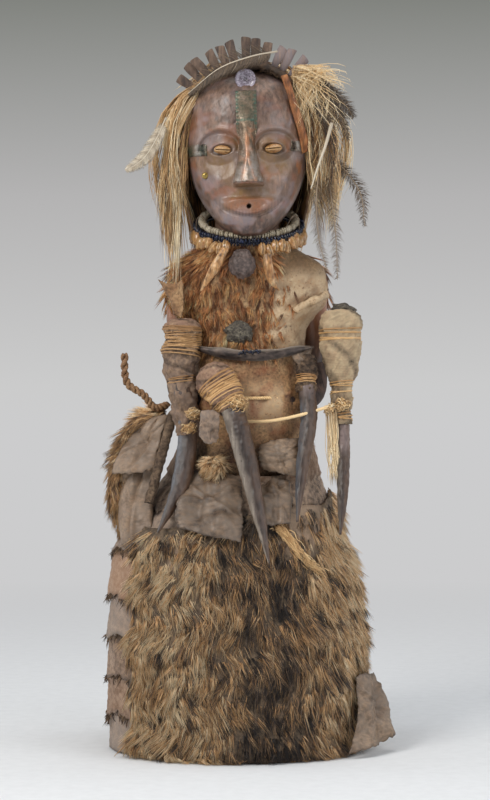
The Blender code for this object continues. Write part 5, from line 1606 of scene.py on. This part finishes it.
def carveHorn(name, horn, seed):
    t, path, radii, turn, out = stem(horn, 80, 34)
    keel = horn["keel"] * np.exp(-((np.angle(np.exp(1j * (turn + 1.9)))) / 0.32) ** 2)
    shape = (radii[:, None] * (0.95 + keel) + 0.35 * horn["grooves"] * np.sin(t * 150)[:, None]
             * rise(0.55, 0.1, t)[:, None])
    places = path[:, None] + out * shape[..., None]
    places += (out * (0.5 * ripple(places, 22, seed) + 0.3 * ripple(places * [1, 1, 0.15], 4, seed + 1))[..., None]
               * rise(1.0, 0.8, t)[:, None, None])
    # front is the share of the surface turned to the lamp at the left front: the blue along it is a painted
    # reflection, the pale on the left side a painted highlight, and the dark on the back, turned to the dress,
    # painted shade mixed with dark patches of the horn's own
    front = clipped(out[..., 0] * -0.9 - out[..., 1] * 0.4)
    uneven = ripple(places * [1, 1, 0.4], 24, seed + 2)
    share = t[:, None]
    marks = {"mauve": rise(horn["mauve"] + 0.08, horn["mauve"] - 0.08, share) * (horn["mauve"] > 0),
             "blue": horn["blue"] * front**5 * rise(horn["mauve"], horn["mauve"] + 0.15, share),
             "pale": horn["pale"] * clipped(rise(0.2, 0.7, out[..., 0] * -1 + 0.2 * uneven)),
             "brown": clipped(rise(0.0, 0.8, out[..., 0] + 0.3 * uneven) * 0.8),
             "dark": clipped(0.6 * rise(0.2, 1.0, uneven) + 0.5 * rise(0.5, 1, out[..., 1]))}
    makePiece(name, closedRings(places, filled(marks, uneven)), hornFinish, [horn["node"]])


bundleLook = {"thread": 2.2, "blotches": 36, "grain": 220, "relief": 0.6,
              "colours": [(0.3, (112, 88, 68)), (0.46, (156, 126, 98)), (0.6, (186, 154, 122)),
                          (0.75, (208, 180, 148))],
              "stains": [("cream", (222, 198, 160), 0.9), ("mauve", (150, 128, 114), 0.8),
                         ("rose", (186, 146, 124), 0.65), ("dark", (48, 38, 32), 0.95)]}
bundleCloth = woven("bundleCloth", bundleLook)
bundles = {
    "leftBundle": {"node": "wrap_left", "path": [(-81, -60, 546), (-81, -62, 535), (-82, -64, 510), (-84, -68, 488),
                                                 (-82, -73, 471)],
                   "radii": [16, 25, 25, 21, 18], "twine": [(0.22, 0.60, 17), (0.3, 0.5, 5)], "tint": "mauve",
                   "tintFrom": 0.62, "cap": "rose"},
    "centreBundle": {"node": "wrap_centre", "path": [(-50, -92, 487), (-44, -96, 478), (-33, -100, 462),
                                                     (-24, -105, 448), (-18, -109, 437)],
                     "radii": [12, 23, 26, 22, 16], "twine": [(0.34, 0.72, 13), (0.5, 0.62, 4), (0.78, 0.95, 6)],
                     "tint": "rose", "tintFrom": -1, "cap": "rose"},
    "farBundle": {"node": "wrap_far_right",
                  "path": [(118, -50, 556), (118, -52, 546), (118, -54, 510), (119, -58, 462), (119, -61, 415)],
                  "radii": [16, 27, 26, 16, 13], "twine": [(0.36, 0.44, 6), (0.72, 0.80, 5), (0.92, 0.97, 3)],
                  "tint": "cream", "tintFrom": -1, "cap": "cream"},
    "leftSleeve": {"path": [(-82, -73, 476), (-80, -76, 452), (-76, -80, 425), (-75, -82, 402)],
                   "radii": [19, 18, 15.5, 12.6], "twine": [(0.04, 0.1, 3)], "tint": "mauve", "tintFrom": -1,
                   "cap": "mauve", "shade": 0.45},
    # a wrap over the top of the right horn, dark all over: painted shade under the arm
    "rightHornShadeWrap": {"path": [(77, -60, 502), (76, -63, 490), (74, -68, 474), (74, -71, 456)],
                 "radii": [8, 13, 13.5, 12], "twine": [(0.62, 0.8, 6)], "tint": "dark", "tintFrom": -1,
                 "cap": "dark"},
}


def wrapBundle(name, bundle, seed):
    steps, sides = 66, 52
    t, path, radii, turn, out = stem(bundle, steps, sides)
    pinch = sum(2.2 * hump((t - (a + b) / 2) / ((b - a) / 2 + 0.05), 1) for a, b, n in bundle["twine"]) + 0 * t
    spiral = np.sin(turn * 2 + t[:, None] * 16 + 1.4 * np.sin(t[:, None] * 9 + turn + seed))
    shape = ((radii - pinch)[:, None] * (0.97 + 0.035 * spiral)
             + 0.8 * np.sin(turn * 7 + 4 * np.sin(t[:, None] * 7 + seed)) * (0.6 + pinch[:, None] * 0.4))
    shape[0] *= 0.55
    places = path[:, None] + out * shape[..., None]
    places += out * (1.5 * ripple(places, 20, seed) + 0.7 * ripple(places, 7, seed + 1))[..., None]
    uneven = ripple(places, 18, seed + 2)
    marks = {"across": turn * 20 + 0 * shape, "down": t[:, None] * 110 + 0 * shape,
             # dark: painted shade in the hollows of the spiral folds, with uneven dark patches of the cloth's own;
             # the shade setting weakens it
             "dark": bundle.get("shade", 1.0)
             * clipped(0.75 * rise(-0.3, -1.0, spiral) + 0.5 * rise(0.3, 1, uneven))}
    marks[bundle["tint"]] = (rise(bundle["tintFrom"] - 0.05, bundle["tintFrom"] + 0.1, t)[:, None]
                             * (0.75 + 0.3 * uneven))
    marks[bundle["cap"]] = np.maximum(marks.get(bundle["cap"], 0), rise(0.3, 0.2, t)[:, None]
                                      * (0.8 + 0.2 * uneven))
    makePiece(name, closedRings(places, limited(marks)), bundleCloth,
              [bundle["node"]] if "node" in bundle else [])
    cords = []
    draw = np.random.default_rng(seed)
    for low, high, turns in bundle["twine"]:
        s = np.linspace(low, high, turns * 26)
        wander = 0.014 * np.sin(s * 190 + seed) + 0.012 * np.sin(s * 67 + low * 50)
        row = np.clip((s + wander) * (steps - 1), 0, steps - 2)
        column = (np.linspace(0, turns, len(s)) * sides) % sides
        spot = betweenRings(places, row, column)
        away = unit(spot - curve(bundle["path"], s))
        cords.append(tube(spot + away * 0.5, 0.75 + 0.2 * draw.random(), 5,
                          values={"tone": 0.30 + 0.2 * draw.random()}))
    return cords


bindings = []
for number, (name, horn) in enumerate(horns.items()):
    carveHorn(name, horn, 110 + 3 * number)
for number, (name, bundle) in enumerate(bundles.items()):
    bindings += wrapBundle(name, bundle, 130 + 4 * number)
makePiece("bundleTwine", joined(bindings), strawFinish, settle=False)
cap = lump((122, -52, 557), np.array([[15, 0, -4.0], [0, 14, 0], [2, 0, 9.0]]), 30, 40,
           lambda w: 1 + 0.16 * ripple(w * 20, 16, 145))
makePiece("farBundleCap", cap, resin)
print("horns and bundles ready")


# What is tied in front: blade, charge, cords, stick and twist

ironFinish = natural("beatenIron", {
    "blotches": 60, "grain": 300, "grainStretch": (0.4, 1, 1), "grainDark": 120,
    "colours": [(0.3, (56, 48, 46)), (0.5, (84, 72, 66)), (0.7, (118, 102, 90))],
    "stains": [("pale", (150, 138, 124), 0.8)], "rough": (0.32, 0.55), "relief": 0.5,
    "sockets": {"Metallic": 0.45}})


def tiedThings():
    s, lift = np.meshgrid(np.linspace(-1, 1, 90), evenly(12))
    height = 12.5 * (1 - np.abs(s) ** 3.2) + 0.8
    grid = stacked(6 + 78 * s, -80 + 20 * np.abs(s) ** 2.2 - 2.0 * np.sin(lift * 3.1),
                   495 + 17 * s * s + height * lift)
    grid[..., 2] += 0.9 * np.sin(s * 11) * (lift - 0.2)
    thick = 3.2 - 1.6 * np.abs(lift * 2 - 1) ** 2 + 0.3 * ripple(grid, 14, 150)
    makePiece("crescentBlade", slab(grid, thick, {"pale": rise(0.72, 0.95, lift) + 0.4 * rise(0.2, 0.0, lift)}),
              ironFinish, ["iron_blade"], sharp=50)
    draw = np.random.default_rng(151)
    centres = stacked(np.linspace(-10, 16, 15), np.full(15, -83.2), 506.5 + 1.2 * draw.normal(size=15))
    makePiece("bladeBeads", scatter(lump((0, 0, 0), np.eye(3), 8, 10), centres,
                                    np.broadcast_to(np.diag([1.6, 1.9, 1.9]), (15, 3, 3))),
              blueBead, settle=False)
    charge = lump((-10, -66, 530), np.diag([17, 10.5, 14.0]), 40, 50,
                  lambda w: 1 + 0.13 * ripple(w * 20, 14, 152) + 0.05 * ripple(w * 20, 4, 153))
    makePiece("bellyCharge", charge, resin, ["belly_charge"])
    stick = curve([(-92, -70, 430), (-106, -80, 380), (-122, -92, 318)], evenly(80))
    bound = tube(stick, 5.6 + 0.8 * np.abs(np.sin(evenly(80) * 40)), 24,
                 values={"across": 0, "down": 0, "dark": 0.25},
                 shaped=lambda r: r + 0.7 * ripple(r * [1, 1, 0.2], 6, 154)[..., None])
    bound[2]["down"] = bound[2]["along"] * 120
    makePiece("wrappedStick", bound, bundleCloth, ["wrapped_stick"])
    t = evenly(120)
    twist = curve([(-99, -51, 439), (-116, -58, 436), (-130, -60, 452), (-151, -58, 468), (-154, -56, 503)], t)
    hideTwist = twine(twist, 4.6, 7, 2, 10, 155)
    makePiece("hideTwist", (hideTwist[0], hideTwist[1],
                            {"russet": 0.15 + 0 * hideTwist[2]["tone"], "dark": 0.3 + 0 * hideTwist[2]["tone"]}),
              hideSkin, ["hide_twist"], settle=False)
    tie = twine(curve([(-8, -90, 420), (30, -94, 421), (70, -92, 429), (111, -68, 440)], t), 2.1, 22, 3, 6, 156,
                {"tone": 0.72})
    angle = np.radians(np.linspace(-34, 34, 9))
    half, depth, middle = follow(hideStations, coat["waist"])
    around = stacked(half * np.sin(angle), middle - (depth + 1.4) * np.cos(angle), coat["waist"] + 0 * angle)
    belt = twine(curve(around, t), 2.0, 16, 2, 6, 157, {"tone": 0.6})
    makePiece("tieCord", tie, strawFinish, ["tie_cord"], settle=False)
    makePiece("bellyTwine", belt, strawFinish, ["belly_twine"], settle=False)
    thong = tube(curve([(113, -34, 503), (106, -20, 507), (96, -8, 508), (90, -2, 507)], evenly(40)), 2.0, 12, 0.7)
    makePiece("armThong", thong, strapFinish, ["arm_thong"])


tiedThings()
print("tied things ready")


# Loose cloth, tail and scraps

greyLeather = natural("greyLeather", {
    "blotches": 18, "grain": 260, "grainStretch": (0.5, 1, 1), "grainDark": 172, "swell": 0.8,
    "colours": [(0.3, (104, 82, 62)), (0.5, (134, 109, 86)), (0.7, (160, 134, 108))],
    "stains": [("edge", (46, 36, 30), 0.95), ("mauve", (166, 150, 134), 0.35)], "rough": (0.60, 0.40),
    "relief": 0.3})
loosePieces = {
    "frontFlap": {"node": "front_flap", "finish": greyLeather, "fold": 5.0, "size": 30, "edge": 0.92,
                  "on": "peltSkin", "corners": [
        [(-72, -84, 356), (-46, -96, 362), (-10, -100, 350)], [(-88, -118, 318), (-50, -150, 316), (0, -132, 318)],
        [(-86, -130, 292), (-50, -152, 280), (-8, -152, 276)]]},
    "bellyFlap": {"node": "belly_flap", "finish": greyLeather, "fold": 2.4, "size": 22, "edge": 0.5,
                  "on": "hideCoat", "corners": [
        [(16, -84, 392), (44, -92, 398), (64, -82, 398)], [(14, -104, 376), (44, -112, 376), (68, -92, 378)],
        [(20, -96, 362), (48, -108, 352), (62, -94, 352)]]},
    "sideFlap": {"node": "side_flap", "finish": greyLeather, "fold": 4.0, "size": 40, "edge": 0.22,
                 "on": "clothSkirt", "corners": [
        [(-92, -46, 428), (-112, -56, 424), (-128, -30, 414)],
        [(-116, -60, 380), (-140, -72, 380), (-170, -40, 372)],
        [(-120, -92, 262), (-142, -92, 252), (-158, -60, 262)]]},
    "skirtCorner": {"node": "skirt_corner", "finish": greyLeather, "fold": 5.5, "size": 26, "edge": 0.5,
                    "on": "clothSkirt", "corners": [
        [(136, -84, 100), (158, -62, 104), (160, -28, 94)], [(142, -98, 56), (170, -76, 60), (176, -36, 58)],
        [(128, -116, 8), (174, -92, 14), (188, -44, 24)]]},
    "leftRoll": {"finish": greyLeather, "fold": 3.0, "size": 16, "edge": 0.6, "on": "clothSkirt", "corners": [
        [(-88, -70, 362), (-74, -80, 364), (-62, -70, 360)], [(-86, -84, 330), (-72, -98, 332), (-60, -86, 330)],
        [(-90, -92, 300), (-76, -108, 298), (-64, -96, 300)]]},
    "barkFold": {"finish": greyLeather, "fold": 3.6, "size": 15, "edge": 0.6, "on": "clothSkirt", "corners": [
        [(18, -88, 350), (34, -98, 354), (52, -86, 346)], [(14, -112, 324), (34, -122, 326), (56, -106, 322)],
        [(16, -126, 296), (36, -132, 292), (54, -120, 296)]]},
    "greySquare": {"finish": rafiaCloth, "fold": 1.6, "size": 18, "edge": 0.4, "on": "centreBundle", "corners": [
        [(-56, -116, 434), (-44, -122, 438), (-34, -118, 432)],
        [(-62, -118, 414), (-46, -126, 414), (-33, -122, 412)],
        [(-56, -114, 398), (-47, -122, 390), (-38, -118, 396)]]},
    "sideLeather": {"finish": greyLeather, "fold": 3.0, "size": 30, "edge": 0.16, "on": "sideFlap", "corners": [
        [(-98, -62, 428), (-112, -66, 424), (-128, -56, 420)],
        [(-112, -76, 396), (-138, -80, 388), (-162, -62, 380)],
        [(-112, -82, 362), (-140, -88, 352), (-170, -64, 354)]]},
    "shoulderScrap": {"finish": hideSkin, "fold": 3.0, "size": 14, "edge": 0.3, "on": "hideCoat", "corners": [
        [(-110, -44, 596), (-96, -58, 586), (-80, -62, 596)], [(-102, -50, 578), (-90, -64, 572), (-79, -66, 574)],
        [(-92, -54, 560), (-87, -60, 550), (-82, -64, 548)]]},
    "bladeFlap": {"finish": greyLeather, "fold": 1.6, "size": 18, "edge": 0.6, "on": "crescentBlade", "corners": [
        [(50, -70, 508), (66, -68, 512), (82, -58, 514)], [(60, -72, 494), (70, -70, 492), (80, -62, 494)],
        [(70, -70, 480), (76, -68, 474), (82, -62, 482)]]},
}


def patch(corners, rows, columns):
    t, s = np.meshgrid(evenly(rows), evenly(columns), indexing="ij")
    weights = lambda v: [(1 - v) ** 2, 2 * v * (1 - v), v**2]
    grid = sum(down[..., None] * along[..., None] * np.array(corners[i][j], float)
               for i, down in enumerate(weights(t)) for j, along in enumerate(weights(s)))
    return grid, t, s


def looseCloth():
    for number, (name, loose) in enumerate(loosePieces.items()):
        grid, t, s = patch(loose["corners"], *([40, 40] if "node" in loose else [26, 26]))
        normal = unit(np.cross(np.gradient(grid, axis=0), np.gradient(grid, axis=1)))
        middle = hump(np.hypot(t - 0.5, s - 0.5) / 1.05, 1)
        grid = (grid + normal * (loose["fold"] * ripple(grid * [1, 1, 0.6], loose["size"] * 1.6, 160 + number, 1)
                                 * (0.35 + middle))[..., None])
        rim = np.maximum(np.abs(2 * t - 1), np.abs(2 * s - 1))
        ragged = 1.4 * ripple(grid, 9, 170 + number) * rise(0.82, 1.0, rim)
        grid = grid + unit(grid - grid.mean((0, 1))) * ragged[..., None]
        crease = (np.exp(-((t - 0.55 + 0.35 * s + 0.05 * np.sin(s * 9)) / 0.035) ** 2)
                  + 0.7 * np.exp(-((t - 0.15 - 0.5 * s) / 0.03) ** 2))
        crease += 0.8 * np.exp(-((s - 0.34 - 0.25 * t - 0.06 * np.sin(t * 7 + number)) / 0.05) ** 2)
        crease -= (0.7 * np.exp(-((t - 0.78 + 0.28 * s) / 0.07) ** 2)
                   + 0.6 * np.exp(-((s - 0.72 + 0.2 * t) / 0.06) ** 2))
        if loose["finish"] == hideSkin:
            crease = 0 * crease
        grid = (grid + normal * (0.12 * loose["size"] * crease * rise(1.0, 0.8, rim)
                                 + 0.35 * ripple(grid, 13, 165 + number))[..., None])
        wide = np.linalg.norm(np.diff(grid, axis=1), axis=-1).sum(1).mean()
        long = np.linalg.norm(np.diff(grid, axis=0), axis=-1).sum(0).mean()
        marks = {"across": s * wide, "down": t * long,
                 # edge: each piece's own darkness and a darker rim, with darkening along the creases that is
                 # painted shade
                 "edge": loose["edge"] + 0.6 * rise(0.86, 1.0, rim) - 0.35 + 0.35 * np.abs(crease),
                 "mauve": 0.5 + 0.5 * ripple(grid, 30, 180 + number)}
        piece = makePiece(name, slab(grid, 1.8, limited(marks), 0.3), loose["finish"],
                          [loose["node"]] if "node" in loose else [])
    cross = []
    stitches = [((-40, 0, 312), (-22, 0, 302)), ((-26, 0, 314), (-36, 0, 300)), ((-36, 0, 308), (-30, 0, 305))]
    for a, b in stitches:
        line = np.linspace(a, b, 12)
        grid, t, s = patch(loosePieces["frontFlap"]["corners"], 30, 30)
        nearest = np.argmin(((grid.reshape(-1, 1, 3) - line[None]) ** 2)[..., [0, 2]].sum(-1), axis=0)
        line[:, 1] = grid.reshape(-1, 3)[nearest, 1] - 3.2
        cross.append(tube(line, 0.9, 8, values={"tone": 0.05}))
    makePiece("flapStitches", joined(cross), strawFinish, settle=False)


def onRings(rings):
    rows, sides = rings.shape[:2]

    def place(u, v):
        return betweenRings(rings, clipped(v) * (rows - 1.001), (u % 1) * sides)
    return place


def furThings():
    tail = curve([(-160, -44, 286), (-166, -42, 330), (-160, -44, 380), (-132, -52, 420), (-104, -48, 430)],
                 evenly(60))
    radii = eased([6, 13, 12, 10, 7], evenly(60)) * 0.62
    rings = ringsAlong(tail, radii, 26, 0.7)
    golden = {"fibres": 4600, "perTuft": 7, "tuft": 1.8, "length": 20, "lift": 5.0, "lean": 0.6, "thick": 0.75,
              "tone": lambda p, u, v: 0.62 + 0.22 * ripple(p, 24, 191)}
    core = closedRings(rings, {"tone": 0.4 + 0 * rings[..., 0], "along": 0.5 + 0 * rings[..., 0]})
    makePiece("furTail", joined([core, furCoat(onRings(rings), golden, 192)]), peltFurFinish, ["fur_tail"],
              settle=False)
    ball = lump((-42, -102, 364), np.diag([13, 10, 12.0]), 20, 30)
    rows = ball[0][:-2].reshape(18, 30, 3)[::-1]
    tuft = {"fibres": 1500, "perTuft": 8, "tuft": 1.6, "length": 12, "lift": 6, "lean": 0.9, "thick": 0.6,
            "tone": lambda p, u, v: 0.82 + 0.1 * ripple(p, 10, 193)}
    makePiece("yellowTuft", joined([(ball[0], ball[1], {"tone": 0.5, "along": 0.6}),
                                    furCoat(onRings(rows), tuft, 194)]), peltFurFinish, settle=False)
    draw = np.random.default_rng(195)
    knots = []
    balls = [((-12, -119, 444), 13, 120, 0.55), ((-68, -92, 430), 10, 66, 0.62), ((-72, -94, 412), 9, 66, 0.5),
             ((104, -74, 434), 9, 50, 0.7), ((120, -74, 440), 10, 66, 0.66)]
    for centre, size, count, tone in balls:
        t = evenly(7)[None, :, None]
        a, b = unit(draw.normal(size=(2, count, 1, 3)))
        turn = t * (2.5 + 3 * draw.random((count, 1, 1)))
        loop = (np.array(centre) + size * (0.55 + 0.45 * draw.random((count, 1, 1)))
                * (a * np.cos(turn) + b * np.sin(turn)) * [1, 0.7, 0.85])
        knots.append(strands(loop, 0.55 * np.ones((1, 6)), {"tone": tone + 0.15 * draw.normal(size=count)}))
    hang = 70
    root = np.array([106, -76, 432]) + draw.normal(size=(hang, 1, 3)) * [3, 2, 2]
    t = evenly(10)[None, :, None]
    fall = root + np.array([4, -6, -96]) * t * (0.6 + 0.4 * draw.random((hang, 1, 1)))
    fall = fall + np.sin(t * 7 + 6 * draw.random((hang, 1, 1))) * draw.normal(size=(hang, 1, 3)) * [3, 1.6, 0] * t
    knots.append(strands(fall, 0.5 * np.ones((1, 9)), {"tone": 0.75 + 0.15 * draw.random(hang)}))
    angle, z = np.array([0.36, 0.45, 0.62, 0.84]), np.array([292, 282, 252, 228])
    strip = curve(skirtPlace(angle, z, 17.0), evenly(60))
    shreds = 150
    ends = np.sort(draw.random((shreds, 2)), axis=1)
    run = ends[:, :1] + (ends[:, 1:] - ends[:, :1]) * evenly(8)[None]
    line = np.stack([np.interp(run, evenly(60), strip[:, k]) for k in range(3)], -1)
    line = (line + draw.normal(size=(shreds, 1, 3)) * [3.2, 1.0, 2.4]
            + np.sin(run[..., None] * 40 + 6 * draw.random((shreds, 1, 3))) * 1.2)
    knots.append(strands(line, 0.9 * np.linspace(1, 0.4, 7)[None], {"tone": 0.42 + 0.25 * draw.random(shreds)}))
    makePiece("frayedKnots", joined(knots), strawFinish, settle=False)
    edge = curve([(60, -48, 556), (74, -46, 566), (90, -40, 572), (101, -22, 577)], evenly(60))
    roll = tube(edge, 4.6 + 0.8 * np.sin(np.linspace(0, 14, 60)), 18, 0.8, values={"cream": 0.95},
                shaped=lambda r: r + 0.8 * ripple(r, 9, 197)[..., None])
    makePiece("rolledEdge", roll, hideSkin)


looseCloth()
furThings()
print("loose cloth and fur ready")
